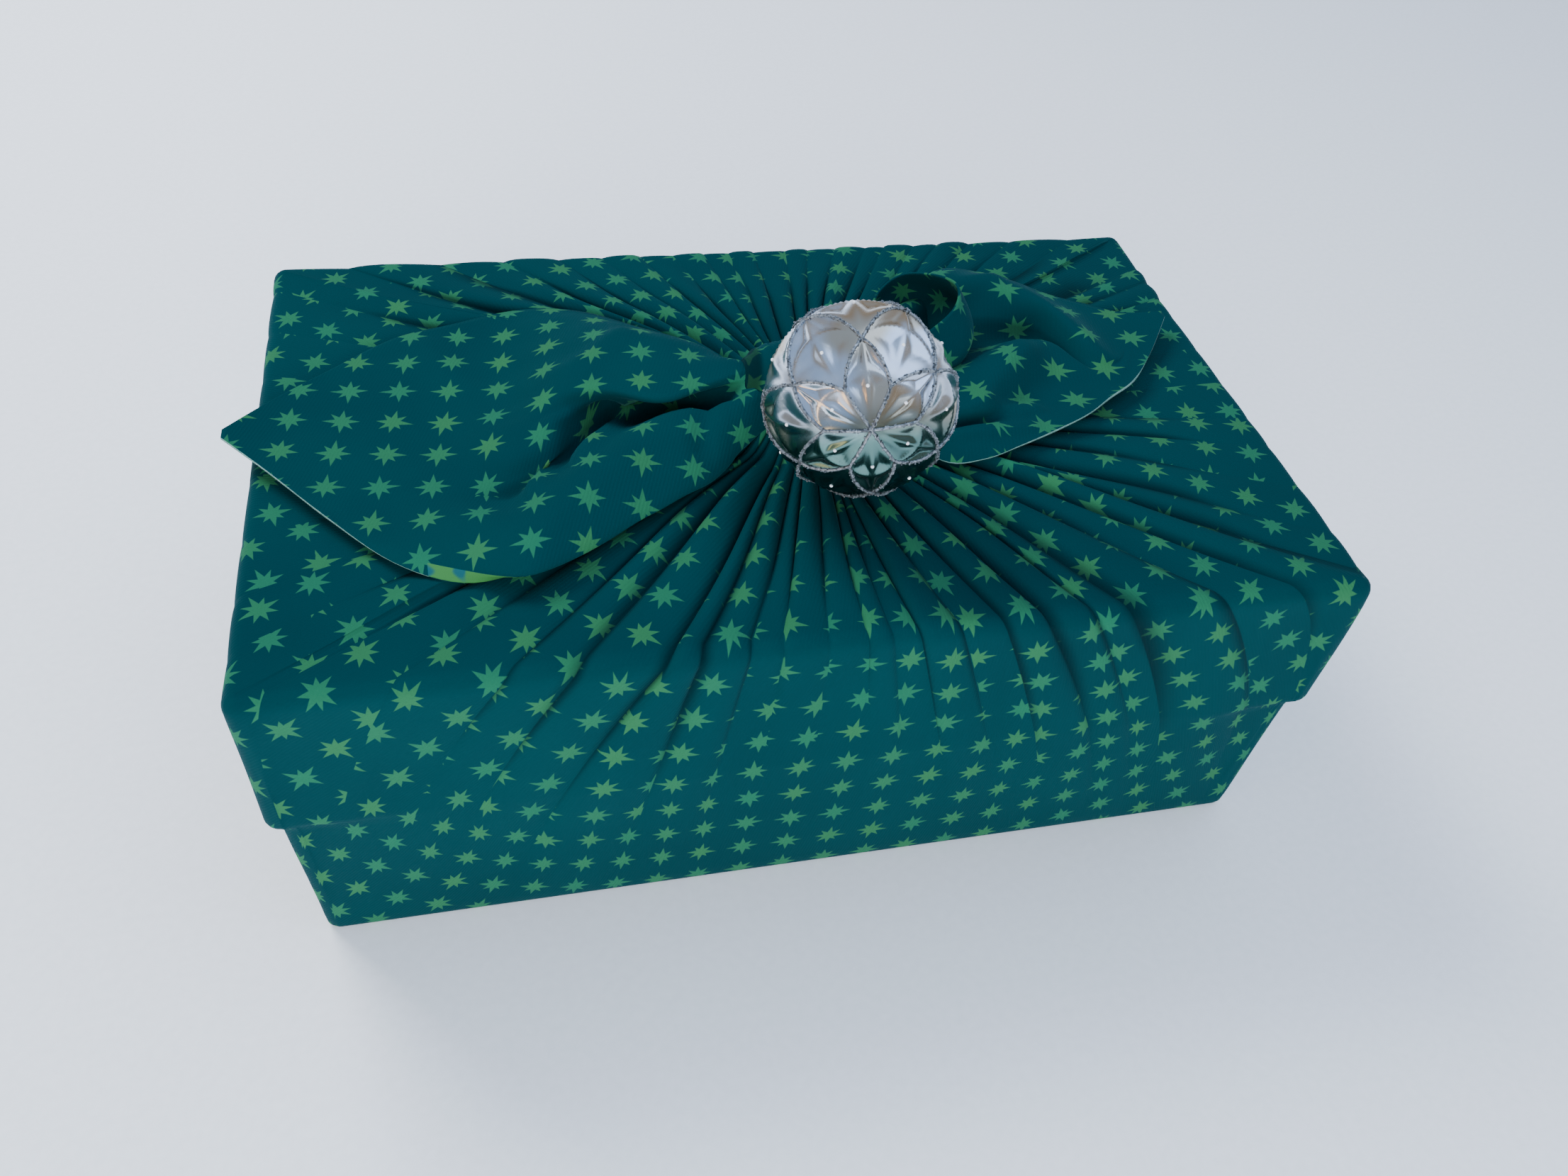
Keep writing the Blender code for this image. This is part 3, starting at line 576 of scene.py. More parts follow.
# tails: sections across, from the back edge to the front, as (y, height over the top); print is
# the star lattice's turn in degrees, its stretch along the tail and a star's place; folds run
# between two of the points across, from one place to another, with a height and a width; reverse
# is where the cloth's other side is turned out at the front edge
leftTail = {
    "steps": 8, "stations": 6, "turn": -7.0, "stretch": 1.0, "star": (-130.0, 2.0), "reverse": (-118, -74),
    "points": ("back", "lipTop", "lipEdge", "lipUnder", "pocketWall", "pocketFloor", "crest", "front",
               "tuck"),
    "lines": ("back", "crest"), "restart": "pocketFloor",
    "folds": (
        ("lipUnder", "crest", (-75, 3), (-86, -43), 4.0, 4.5),
        ("lipUnder", "crest", (-53, 0), (-71, -33), 4.0, 3.6),
        ("pocketFloor", "front", (-28, -12), (-33, -34), -1.8, 3.0),
        ("back", "lipEdge", (-77, 0), (-52, 24), 2.2, 5.0),
        ("back", "lipEdge", (-97, -6), (-118, 44), 1.2, 6.0),
        ("crest", "front", (-50, -28), (-84, -60), 1.0, 4.0),
    ),
    "sections": {
        -4: ((3, 12), (1, 17), (-2, 20), (-4, 21), (-6, 21), (-10, 20), (-14, 16), (-17, 11),
             (-15, 7)),
        -14: ((10, 13), (4, 20), (-3, 22), (-6, 20.5), (-8, 19), (-12, 19), (-17, 18),
              (-24, 10), (-19, 5)),
        -26: ((29, 11), (12, 20), (-6, 21), (-7, 16.5), (-2, 12.5), (-8, 9.5), (-18, 18), (-37, 9),
              (-28, 3.5)),
        -43: ((43, 9), (20, 20.5), (-11, 20), (-10, 15.5), (4, 10), (-6, 5.5), (-22, 18),
              (-50, 9), (-39, 3.5)),
        -60: ((57, 7), (30, 17), (-4, 20), (-5, 14.5), (3, 9), (-10, 4), (-34, 18), (-61, 9),
              (-50, 3.5)),
        -76: ((63, 6), (34, 12), (2, 17.5), (-8, 14), (-14, 9), (-24, 4.5), (-47, 17), (-71, 9),
              (-61, 3.5)),
        -92: ((63, 5), (32, 6), (6, 8), (-12, 11), (-26, 10), (-38, 5), (-58, 14), (-78, 9),
              (-71, 3.5)),
        -110: ((57, 5), (34, 5), (12, 5), (-4, 5), (-18, 5), (-36, 5), (-52, 9), (-69, 7),
               (-74, 3.5)),
        -130: ((50, 5), (32, 5), (16, 5), (2, 5), (-12, 5), (-27, 5), (-43, 5), (-57, 5), (-63, 4)),
        -150: ((34, 5), (25, 5), (16, 5), (7, 5), (-2, 5), (-12, 5), (-22, 5), (-33, 5), (-41, 5)),
        -168: ((17, 6), (12, 6), (8, 6), (3, 6), (-1, 6), (-5, 6), (-10, 6), (-14, 6), (-19, 6)),
        -182: ((0, 8), (-0.5, 8), (-1, 8), (-1.5, 8), (-2, 8), (-2.5, 8), (-3, 8), (-3.5, 8), (-4, 8)),
    },
}
rightTail = {
    "steps": 9, "stations": 6, "turn": 6.0, "stretch": 0.8, "star": (105.0, 4.0), "reverse": (0, 0),
    "points": ("back", "brow", "hollow", "lobe", "dip", "skirt", "hem"),
    "lines": ("hollow", "lobe"), "restart": "lobe",
    "folds": (
        ("back", "lobe", (44, 22), (104, 32), -3.0, 5.0), ("hollow", "skirt", (40, -12), (92, 12), 2.4, 6.0),
        ("lobe", "hem", (38, -22), (90, -16), 2.2, 3.2), ("lobe", "hem", (42, -33), (84, -27), 1.8, 3.0),
        ("back", "hollow", (50, 40), (96, 56), 1.8, 4.5),
    ),
    "sections": {
        22: ((2, 14), (0, 18), (-2, 20), (-4, 20), (-7, 18), (-11, 14), (-14, 9)),
        34: ((13, 12), (9, 17), (4, 18), (-3, 19), (-9, 16), (-15, 11), (-19, 7)),
        47: ((38, 8), (29, 12), (12, 8), (-13, 14), (-24, 9), (-31, 10), (-40, 7)),
        62: ((57, 9), (46, 12), (26, 5), (-17, 15), (-24, 8), (-30, 10), (-41, 7)),
        78: ((68, 12), (54, 14), (30, 5), (-2, 15), (-16, 8), (-24, 8), (-35, 7)),
        94: ((65, 12), (50, 15), (33, 5), (11, 14), (-3, 7), (-16, 6), (-28, 7)),
        108: ((60, 10), (42, 15), (28, 5), (17, 10), (2, 6), (-10, 6), (-21, 7)),
        120: ((53, 8), (22, 13), (9, 6), (4, 6), (-2, 5.5), (-7, 5.5), (-12, 6.5)),
        133: ((47, 7), (15, 7), (9, 6), (6, 6), (3, 5.5), (0, 5.5), (-3, 6.5)),
        147: ((41, 6), (35, 6), (30, 6), (26, 6), (22, 6), (18, 6), (13, 6)),
        162: ((37.5, 8), (37, 8), (36.5, 8), (36, 8), (35.5, 8), (35, 8), (34, 8)),
    },
}
# small waves over both tails, the hollow shading's depth and reach, and the width of what is turned out
tailWaves = {
    "nearKnot": 70.0, "ripple": 0.6, "ripplesNear": 1.6, "crumple": 0.7, "height": 0.8,
    "calmRows": 8.0, "calmColumns": 5.0, "foldFade": 4.0,
    "hollow": 0.72, "hollowShadeDepth": 4.0, "hollowShadeReach": 10, "reverseColumns": 7,
}


def addTail(tail, flip):
    waves = tailWaves
    sections = [[(x, y, parcel["height"] + h) for y, h in row] for x, row in tail["sections"].items()]
    grid = surfaceThrough(sections, tail["steps"], tail["stations"])
    rows, columns = grid.shape[:2]
    normals = np.cross(np.gradient(grid, axis=0), np.gradient(grid, axis=1))
    normals /= np.linalg.norm(normals, axis=2, keepdims=True) + 1e-9
    normals *= np.sign(normals[:, :, 2].mean())

    def columnOf(point):
        return tail["points"].index(point) * tail["steps"]

    for i, j in np.ndindex(rows, columns):
        x, y, z = grid[i, j]
        near = math.exp(-abs(x - parcel["knot"][0]) / waves["nearKnot"])
        wave = noise.noise(Vector((x * 0.02, y * 0.11, 3.0)))
        wave *= waves["ripple"] + waves["ripplesNear"] * near
        wave += noise.noise(Vector((x * 0.05, y * 0.05, 8.0))) * waves["crumple"]
        calm = smooth(min(i, rows - 1 - i) / waves["calmRows"])
        calm = calm * smooth(min(j, columns - 1 - j) / waves["calmColumns"])
        grid[i, j] += normals[i, j] * wave * waves["height"] * float(calm)
    for first, last, start, end, height, width in tail["folds"]:
        start, along = np.array(start), np.array(end) - np.array(start)
        past = grid[:, :, :2] - start
        share = np.clip((past @ along) / (along @ along), 0, 1)
        off = np.linalg.norm(past - share[:, :, None] * along, axis=2) / width
        column = np.arange(columns)
        inside = smooth((column - columnOf(first)) / waves["foldFade"])
        inside = inside * smooth((columnOf(last) - column) / waves["foldFade"])
        grid += normals * (height * np.exp(-off ** 2) * inside)[:, :, None]
    lengths = lengthsAlong(grid)
    x = grid[:, :, 0]
    angle = math.radians(tail["turn"])

    # print laid from one of the tail's lines, so that it is true to size there
    def laidFrom(line):
        at = columnOf(line)
        across = grid[:, at:at + 1, 1] - (lengths - lengths[:, at:at + 1])
        dx, dy = (x - tail["star"][0]) * tail["stretch"], across - tail["star"][1]
        return dx * math.cos(angle) + dy * math.sin(angle), -dx * math.sin(angle) + dy * math.cos(angle)

    laid = [laidFrom(line) for line in tail["lines"]]
    restart, firstOut = columnOf(tail["restart"]), columns - waves["reverseColumns"]
    faces, prints, skins = [], [], []
    for corners in gridCells(rows, columns):
        i, j = corners[0]
        if flip:
            corners.reverse()
        faces.append(tuple(a * columns + b for a, b in corners))
        printU, printV = laid[0] if j < restart else laid[1]
        prints.append([(printU[a, b], printV[a, b]) for a, b in corners])
        turnedOut = j >= firstOut and tail["reverse"][0] < x[i, j] < tail["reverse"][1]
        skins.append(1 if turnedOut else 0)
    # painted shade: cloth that lies lower than the cloth either side of it is in a hollow, and is darkened
    # there as shade
    reach = waves["hollowShadeReach"]
    level = np.pad(grid[:, :, 2], ((0, 0), (reach, reach)), "edge")
    level = np.mean([level[:, shift:shift + columns] for shift in range(2 * reach + 1)], axis=0)
    hollow = waves["hollow"] * smooth((level - grid[:, :, 2]) / waves["hollowShadeDepth"])
    cloth.add(grid.reshape(-1, 3), faces, prints, (1.0 - hollow).reshape(-1), skins)


# the loop beside the knot: foot, belly and rim of each station, as (x, y, height over the top)
knotLoop = {
    "steps": 9, "stations": 7, "star": (52.0, 12.0),
    "walls": (
        ((26, 0, 8), (26, -1, 14), (26, 2, 20)), ((42, -2, 5), (43, -4, 14), (42, 2, 23)),
        ((56, 2, 5), (59, 1, 15), (56, 10, 25)), ((66, 9, 5), (71, 9, 17), (67, 19, 28)),
        ((70, 21, 5), (76, 23, 18), (71, 31, 29)), ((67, 35, 5), (73, 39, 17), (66, 43, 26)),
        ((57, 44, 5), (61, 50, 15), (56, 50, 22)), ((46, 40, 5), (47, 46, 13), (46, 45, 18)),
        ((38, 25, 5), (37, 30, 11), (37, 29, 16)),
    ),
}


def addLoop():
    walls = [[(x, y, parcel["height"] + h) for x, y, h in row] for row in knotLoop["walls"]]
    grid = surfaceThrough(walls, knotLoop["steps"], knotLoop["stations"])
    rows, columns = grid.shape[:2]
    u = lengthsAlong(grid[:, columns // 2]) - knotLoop["star"][0]
    v = lengthsAlong(grid) - knotLoop["star"][1]
    faces, prints = [], []
    for corners in gridCells(rows, columns):
        faces.append(tuple(a * columns + b for a, b in corners))
        prints.append([(u[a], v[a, b]) for a, b in corners])
    cloth.add(grid.reshape(-1, 3), faces, prints, np.ones(rows * columns), [3] * len(faces))


# the knot's wound bands: radius along X, leaning a little, with ridges of drawn cloth; the bands
# get painted shade in the grooves, where the radius is under shadeFrom, and on their ends
knotBarrel = {
    "at": (8.0, -3.0, 145.5), "slant": 0.25, "sides": 56, "steps": 5, "printRound": 79.0, "printStart": 6.0,
    "ridge": 0.35, "ridgeFine": 1.9, "ridgeTwist": 2.0, "wave": 0.5, "waveFine": 0.3,
    "shadeFrom": 10.2, "shadeFade": 2.0, "shadeEnd": 0.3,
    "profile": ((-23.0, 7.0), (-20.0, 10.5), (-15.0, 12.5), (-9.0, 12.8), (-6.0, 11.0), (-3.5, 12.8),
                (2.0, 13.6), (8.0, 13.2), (11.0, 11.2), (14.0, 12.6), (19.0, 11.8), (23.0, 9.0), (25.0, 6.0)),
}


def addBarrel():
    look = knotBarrel
    profile = throughPoints(look["profile"], look["steps"])
    sides, at = look["sides"], look["at"]
    points, faces, prints, folds = [], [], [], []
    for along, radius in profile:
        for step in range(sides):
            angle = 2 * math.pi * step / sides
            spot = Vector((along * look["waveFine"], math.sin(angle), math.cos(angle)))
            ridge = look["ridge"] * math.sin(along * look["ridgeFine"] + look["ridgeTwist"] * math.sin(angle))
            r = radius + ridge + look["wave"] * noise.noise(spot)
            up = r * math.sin(angle)
            points.append((at[0] + along + look["slant"] * up, at[1] + r * math.cos(angle), at[2] + up))
            folds.append(min(1.0, max(0.0, (radius - look["shadeFrom"]) / look["shadeFade"])))
    rings = len(profile)
    for i in range(rings - 1):
        for step in range(sides):
            corners = ((step, i), (step + 1, i), (step + 1, i + 1), (step, i + 1))
            faces.append(tuple(ring * sides + s % sides for s, ring in corners))
            prints.append([(profile[ring][0] + look["printStart"], s / sides * look["printRound"])
                           for s, ring in corners])
    for ring, flip in ((0, True), (rings - 1, False)):
        centre = len(points)
        points.append((at[0] + profile[ring][0], at[1], at[2]))
        folds.append(look["shadeEnd"])
        for step in range(sides):
            tri = [centre, ring * sides + step, ring * sides + (step + 1) % sides]
            faces.append(tuple(tri[::-1] if flip else tri))
            prints.append([plainSpot] * 3)
    cloth.add(points, faces, prints, folds)


addWrapBody()
addTail(leftTail, False)
addTail(rightTail, True)
addLoop()
addBarrel()
print("cloth surface:", len(cloth.points), "points,", len(cloth.faces), "faces")


# printed side: brushed stretch knit, dyed dark teal with paler green stars; the brushing gives it a
# soft sheen at grazing angles and no gloss, and the knit's wales, drawn about twice as coarse as
# they are, show where light grazes it
printSide = {
    "ground": "#003639", "groundDeep": "#002a2f", "star": "#1d5f44", "starWarm": "#2c663c", "warmShare": 0.8,
    # crease, creaseShadeShare and creaseShadeEnd are the painted shade deep in creases and hollows: its
    # colour, how strongly it is mixed in, and the fold depth where it ends
    "crease": "#001014", "creaseShadeShare": 0.75, "creaseShadeEnd": 0.6, "mottle": 0.82,
    "spikeLong": 6.0, "spikeShort": 4.9, "spikeWidth": 1.55, "uneven": 1.4, "spin": 0.28, "spinSeed": 57.0,
    "starEdge": (-0.10, 0.14), "walePitch": 1.1, "waleTurn": 12, "waleShare": 0.55,
    "sheen": 0.06, "sheenTint": "#7fd0d8", "roughness": 0.8,
}


# where the stars are, from 0 to 1, and a random number for each star
def starMask(tree, uv):
    look, eighth, flat = printSide, math.pi / 4, {"noise_dimensions": "2D"}
    pitch = (printGrid["pitch"], printGrid["pitch"], 1.0)
    middle, half = (look["spikeLong"] + look["spikeShort"]) / 2, (look["spikeLong"] - look["spikeShort"]) / 2
    # each row: the value it makes, how, and from which values or numbers
    cells = (
        ("scaled", "DIVIDE", "uv", pitch), ("shifted", "ADD", "scaled", (0.5, 0.5, 0.0)),
        ("cell", "FLOOR", "shifted", pitch), ("inCell", "SUBTRACT", "scaled", "cell"),
        ("local", "MULTIPLY", "inCell", pitch), ("radius", "LENGTH", "local", pitch),
    )
    spikes = (
        ("lean", "SUBTRACT", "rand", 0.5), ("spin", "MULTIPLY", "lean", look["spin"]),
        ("bearing", "ARCTAN2", "y", "x"), ("angle", "ADD", "bearing", "spin"),
        ("turns", "DIVIDE", "angle", eighth), ("spike", "ROUND", "turns", 0.0),
        ("onSpike", "MULTIPLY", "spike", eighth), ("aside", "SUBTRACT", "angle", "onSpike"),
        ("cosine", "COSINE", "aside", 0.0), ("along", "MULTIPLY", "radius", "cosine"),
        ("sine", "SINE", "aside", 0.0), ("off", "MULTIPLY", "radius", "sine"),
        ("across", "ABSOLUTE", "off", 0.0), ("seed", "MULTIPLY", "rand", look["spinSeed"]),
    )
    # spikes along the rows and columns are the longer ones, and each is a little uneven
    lengths = (
        ("halfTurns", "MULTIPLY", "spike", math.pi), ("long", "COSINE", "halfTurns", 0.0),
        ("longer", "MULTIPLY", "long", half), ("even", "ADD", "longer", middle),
        ("chance", "SUBTRACT", "uneven", 0.5), ("more", "MULTIPLY", "chance", look["uneven"]),
        ("reach", "ADD", "even", "more"), ("share", "DIVIDE", "along", "reach"),
        ("taper", "SUBTRACT", 1.0, "share"), ("width", "MULTIPLY", "taper", look["spikeWidth"]),
        ("margin", "SUBTRACT", "width", "across"),
    )
    made = {"uv": uv}
    for rows in (cells, spikes, lengths):
        kind = "ShaderNodeVectorMath" if rows is cells else "ShaderNodeMath"
        if rows is spikes:
            rand = addNode(tree, "ShaderNodeTexWhiteNoise", flat, Vector=made["cell"]).outputs["Value"]
            x, y = addNode(tree, "ShaderNodeSeparateXYZ", i0=made["local"]).outputs[:2]
            made.update(rand=rand, x=x, y=y)
        if rows is lengths:
            seed = addNode(tree, "ShaderNodeCombineXYZ", i0=made["seed"], i1=made["spike"])
            made["uneven"] = addNode(tree, "ShaderNodeTexWhiteNoise", flat, Vector=seed).outputs["Value"]
        for name, operation, a, b in rows:
            a, b = made.get(a, a), made.get(b, b)
            made[name] = addNode(tree, kind, {"operation": operation}, i0=a, i1=b)
    low, high = look["starEdge"]
    return addNode(tree, "ShaderNodeMapRange", eased, i0=made["margin"], i1=low, i2=high), rand


def makePrintSide():
    look = printSide
    made, tree, shader = newMaterial("brushed stretch knit, star print")
    uv = addNode(tree, "ShaderNodeUVMap", {"uv_map": "print"})
    place = addNode(tree, "ShaderNodeTexCoord").outputs["Object"]
    mask, rand = starMask(tree, uv)
    times = {"operation": "MULTIPLY"}
    cloudy = addNode(tree, "ShaderNodeTexNoise", Vector=place, Scale=14.0, Detail=3.0)
    ground = addNode(tree, "ShaderNodeMix", colours, i0=cloudy, i6=look["groundDeep"], i7=look["ground"])
    warm = addNode(tree, "ShaderNodeMath", times, i0=rand, i1=look["warmShare"])
    star = addNode(tree, "ShaderNodeMix", colours, i0=warm, i6=look["star"], i7=look["starWarm"])
    # dye is a little mottled where ink sits on the pile
    pile = addNode(tree, "ShaderNodeTexNoise", Vector=uv, Scale=1.6, Detail=2.0)
    taken = addNode(tree, "ShaderNodeMapRange", i0=pile, i3=look["mottle"], i4=1.0)
    mottled = addNode(tree, "ShaderNodeMath", times, i0=mask, i1=taken)
    printed = addNode(tree, "ShaderNodeMix", colours, i0=mottled, i6=ground, i7=star)
    # painted shade: where the fold attribute is low (deep in the creases, in the tails' hollows and in the
    # knot's grooves) the colour is drawn towards the crease shade colour
    fold = addNode(tree, "ShaderNodeAttribute", {"attribute_name": "fold"}).outputs["Fac"]
    creaseShade = addNode(tree, "ShaderNodeMapRange", eased, i0=fold,
                   i2=look["creaseShadeEnd"], i3=look["creaseShadeShare"], i4=0.0)
    colour = addNode(tree, "ShaderNodeMix", colours, i0=creaseShade, i6=printed, i7=look["crease"])
    # wales are the knit's fine ribs
    turn = (0, 0, math.radians(look["waleTurn"]))
    turned = addNode(tree, "ShaderNodeMapping", Vector=uv, Rotation=turn)
    wales = addNode(tree, "ShaderNodeTexWave", {"bands_direction": "X"}, Vector=turned,
                    Scale=0.314 / look["walePitch"], Distortion=0.6).outputs["Fac"]
    grain = addNode(tree, "ShaderNodeTexNoise", Vector=uv, Scale=2.4, Detail=3.0)
    ribs = addNode(tree, "ShaderNodeMath", times, i0=wales, i1=look["waleShare"])
    relief = addNode(tree, "ShaderNodeMath", {"operation": "ADD"}, i0=ribs, i1=grain)
    bump = addNode(tree, "ShaderNodeBump", Strength=0.22, Distance=0.0004, Height=relief)
    feed(tree, shader, Base_Color=colour, Roughness=look["roughness"], Specular_IOR_Level=0.07, Normal=bump,
         Sheen_Weight=look["sheen"], Sheen_Roughness=0.42, Sheen_Tint=look["sheenTint"])
    return made


# reverse side: plain mid green with loose pale dots and dark blots, as a cheap two-sided print has
def makeReverseSide():
    made, tree, shader = newMaterial("brushed stretch knit, reverse")
    uv = addNode(tree, "ShaderNodeUVMap", {"uv_map": "print"})
    blots = addNode(tree, "ShaderNodeTexNoise", Vector=uv, Scale=0.075, Detail=1.0)
    dark = addNode(tree, "ShaderNodeMapRange", eased, i0=blots, i1=0.62, i2=0.66)
    dots = addNode(tree, "ShaderNodeTexVoronoi", {"feature": "F1"}, Vector=uv, Scale=0.07).outputs["Distance"]
    dot = addNode(tree, "ShaderNodeMapRange", eased, i0=dots, i1=0.11, i2=0.08)
    blotted = addNode(tree, "ShaderNodeMix", colours, i0=dark, i6="#2f6a34", i7="#0c4a50")
    colour = addNode(tree, "ShaderNodeMix", colours, i0=dot, i6=blotted, i7="#c9d6d2")
    grain = addNode(tree, "ShaderNodeTexNoise", Vector=uv, Scale=2.4, Detail=3.0)
    bump = addNode(tree, "ShaderNodeBump", Strength=0.2, Distance=0.0004, Height=grain)
    feed(tree, shader, Base_Color=colour, Roughness=0.85, Normal=bump)
    return made


# cut edge: undyed knit core, which frays a little and looks pale beside the print
def makeCutEdge():
    made, tree, shader = newMaterial("cut edge of the knit, undyed")
    place = addNode(tree, "ShaderNodeTexCoord").outputs["Object"]
    frayed = addNode(tree, "ShaderNodeTexNoise", Vector=place, Scale=900.0, Detail=2.0)
    colour = addNode(tree, "ShaderNodeMix", colours, i0=frayed, i6="#1f5a58", i7="#86a89b")
    feed(tree, shader, Base_Color=colour, Roughness=0.9)
    return made


def buildCloth():
    mesh = bpy.data.meshes.new("wrapCloth")
    mesh.from_pydata([tuple(c * mm for c in p) for p in cloth.points], [], cloth.faces)
    flat = np.array([place for corners in cloth.prints for place in corners], dtype=np.float32)
    mesh.uv_layers.new(name="print").data.foreach_set("uv", flat.ravel())
    attribute = mesh.attributes.new("fold", "FLOAT", "POINT")
    attribute.data.foreach_set("value", np.array(cloth.folds, dtype=np.float32))
    mesh.polygons.foreach_set("material_index", np.array(cloth.skins, dtype=np.int32))
    mesh.polygons.foreach_set("use_smooth", np.ones(len(mesh.polygons), dtype=bool))
    printed, reverse, edge = makePrintSide(), makeReverseSide(), makeCutEdge()
    # the last three are for the wrap's body and the loop, which show the print on both sides
    for made in (printed, reverse, edge, printed, printed, printed):
        mesh.materials.append(made)
    wrap = newObject("wrapCloth", mesh)
    wall = wrap.modifiers.new("cloth thickness", "SOLIDIFY")
    wall.thickness, wall.offset = parcel["thickness"] * mm, -1.0
    wall.use_rim = True
    wall.material_offset, wall.material_offset_rim = 1, 2
    return wrap


wrapCloth = buildCloth()
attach(wrapCloth, "root")
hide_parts("wrap_cloth")
clothShape = wrapCloth.evaluated_get(bpy.context.evaluated_depsgraph_get()).data
print("cloth built:", sum(len(face.vertices) - 2 for face in clothShape.polygons), "triangles")


# the bauble: petal cells in rows from its pole, each dented towards the middle of its edges, with
# glitter along the edges and a drop of it on each cell. The soft edge rounds the ridges between
# dents, and is a share of the cell
bauble = {
    "at": (13.6, -44.0, 167.0), "radius": 30.0,
    "pole": (-0.170, -0.925, 0.339), "north": (-0.191, -0.673, 0.715),
    "petals": 6, "rows": (0.0, 26.0, 52.0, 90.0, 128.0, 154.0, 180.0), "dent": 0.07,
    "bulge": 0.15, "edgeSteps": 20, "softEdge": 0.018, "ropeRadius": 0.5, "grain": 0.34, "grainsPerMm": 6.0,
    "bead": 0.55, "beadSunk": 0.2, "ropeLift": 0.12, "seed": 5,
}


# a point of the ball: degrees from the pole, and petals round it
def ballPoint(row, petal):
    polar, around = math.radians(row), 2 * math.pi * petal / bauble["petals"]
    flat = math.sin(polar)
    return Vector((flat * math.cos(around), flat * math.sin(around), math.cos(polar))) * bauble["radius"]


def baubleFrame():
    pole = Vector(bauble["pole"]).normalized()
    north = Vector(bauble["north"])
    first = (north - pole * north.dot(pole)).normalized()
    axes = Matrix((first, pole.cross(first), pole)).transposed().to_4x4()
    return Matrix.Translation(Vector(bauble["at"]) * mm) @ axes @ Matrix.Scale(mm, 4)


# the cell's edge from one corner to the next, bowed away from the pole like a petal's
def petalEdge(one, two):
    steps, found = bauble["edgeSteps"], []
    for step in range(steps + 1):
        t = step / steps
        point = one.lerp(two, t)
        flat = Vector((point.x, point.y)).length
        if flat > 1e-3 and min(one.length_squared, two.length_squared) > 0:
            away = Vector((point.x * point.z / flat, point.y * point.z / flat, -flat)).normalized()
            point = point + away * bauble["bulge"] * (two - one).length * 4 * t * (1 - t)
        found.append(point.normalized() * bauble["radius"])
    return found


def petalCells():
    rows = bauble["rows"]
    for row in range(len(rows) - 2):
        for petal in range(bauble["petals"]):
            at = petal + 0.5 * (row % 2)
            yield [ballPoint(rows[row], at), ballPoint(rows[row + 1], at + 0.5),
                   ballPoint(rows[row + 2], at), ballPoint(rows[row + 1], at - 0.5)]


# depth of the dents over one cell, from 0 at its edge and ridges to 1, for places from -1 to 1
def dentAt(x, y):
    found, nudge, diagonal = 0.0, bauble["softEdge"], bauble["softEdge"] * 0.7
    moves = [(0, 0), (nudge, 0), (-nudge, 0), (0, nudge), (0, -nudge)]
    moves += [(a, b) for b in (diagonal, -diagonal) for a in (diagonal, -diagonal)]
    for dx, dy in moves:
        wide, narrow = sorted((abs(x + dx), abs(y + dy)), reverse=True)
        found += max(0.0, min(2 * (1 - wide), 2 * (wide - narrow))) / len(moves)
    return found


# each cell is a curved patch between its four edges, dented towards the middle of each edge
def buildGlass():
    shape, steps = bmesh.new(), bauble["edgeSteps"]
    for ends in petalCells():
        one, two, three, four = [petalEdge(a, b) for a, b in zip(ends, ends[1:] + ends[:1])]
        three, four = three[::-1], four[::-1]
        size = (ends[0] - ends[2]).length * 0.5 + (ends[1] - ends[3]).length * 0.5
        grid = []
        for i in range(steps + 1):
            for j in range(steps + 1):
                u, v = i / steps, j / steps
                flat = ends[0] * (1 - u) * (1 - v) + ends[1] * u * (1 - v)
                flat = flat + ends[2] * u * v + ends[3] * (1 - u) * v
                point = one[i] * (1 - v) + three[i] * v + four[j] * (1 - u) + two[j] * u - flat
                rim = min(1.0, 6 * min(u, v, 1 - u, 1 - v))
                depth = bauble["dent"] * size * dentAt(2 * u - 1, 2 * v - 1) * rim
                grid.append(shape.verts.new(point.normalized() * (bauble["radius"] - depth)))
        for i in range(steps):
            for j in range(steps):
                at = i * (steps + 1) + j
                shape.faces.new([grid[at], grid[at + steps + 1], grid[at + steps + 2], grid[at + 1]])
    bmesh.ops.remove_doubles(shape, verts=shape.verts, dist=0.02)
    bmesh.ops.recalc_face_normals(shape, faces=shape.faces)
    mesh = bpy.data.meshes.new("baubleGlass")
    shape.transform(baubleFrame())
    shape.to_mesh(mesh)
    shape.free()
    mesh.polygons.foreach_set("use_smooth", [True] * len(mesh.polygons))
    return newObject("baubleGlass", mesh)


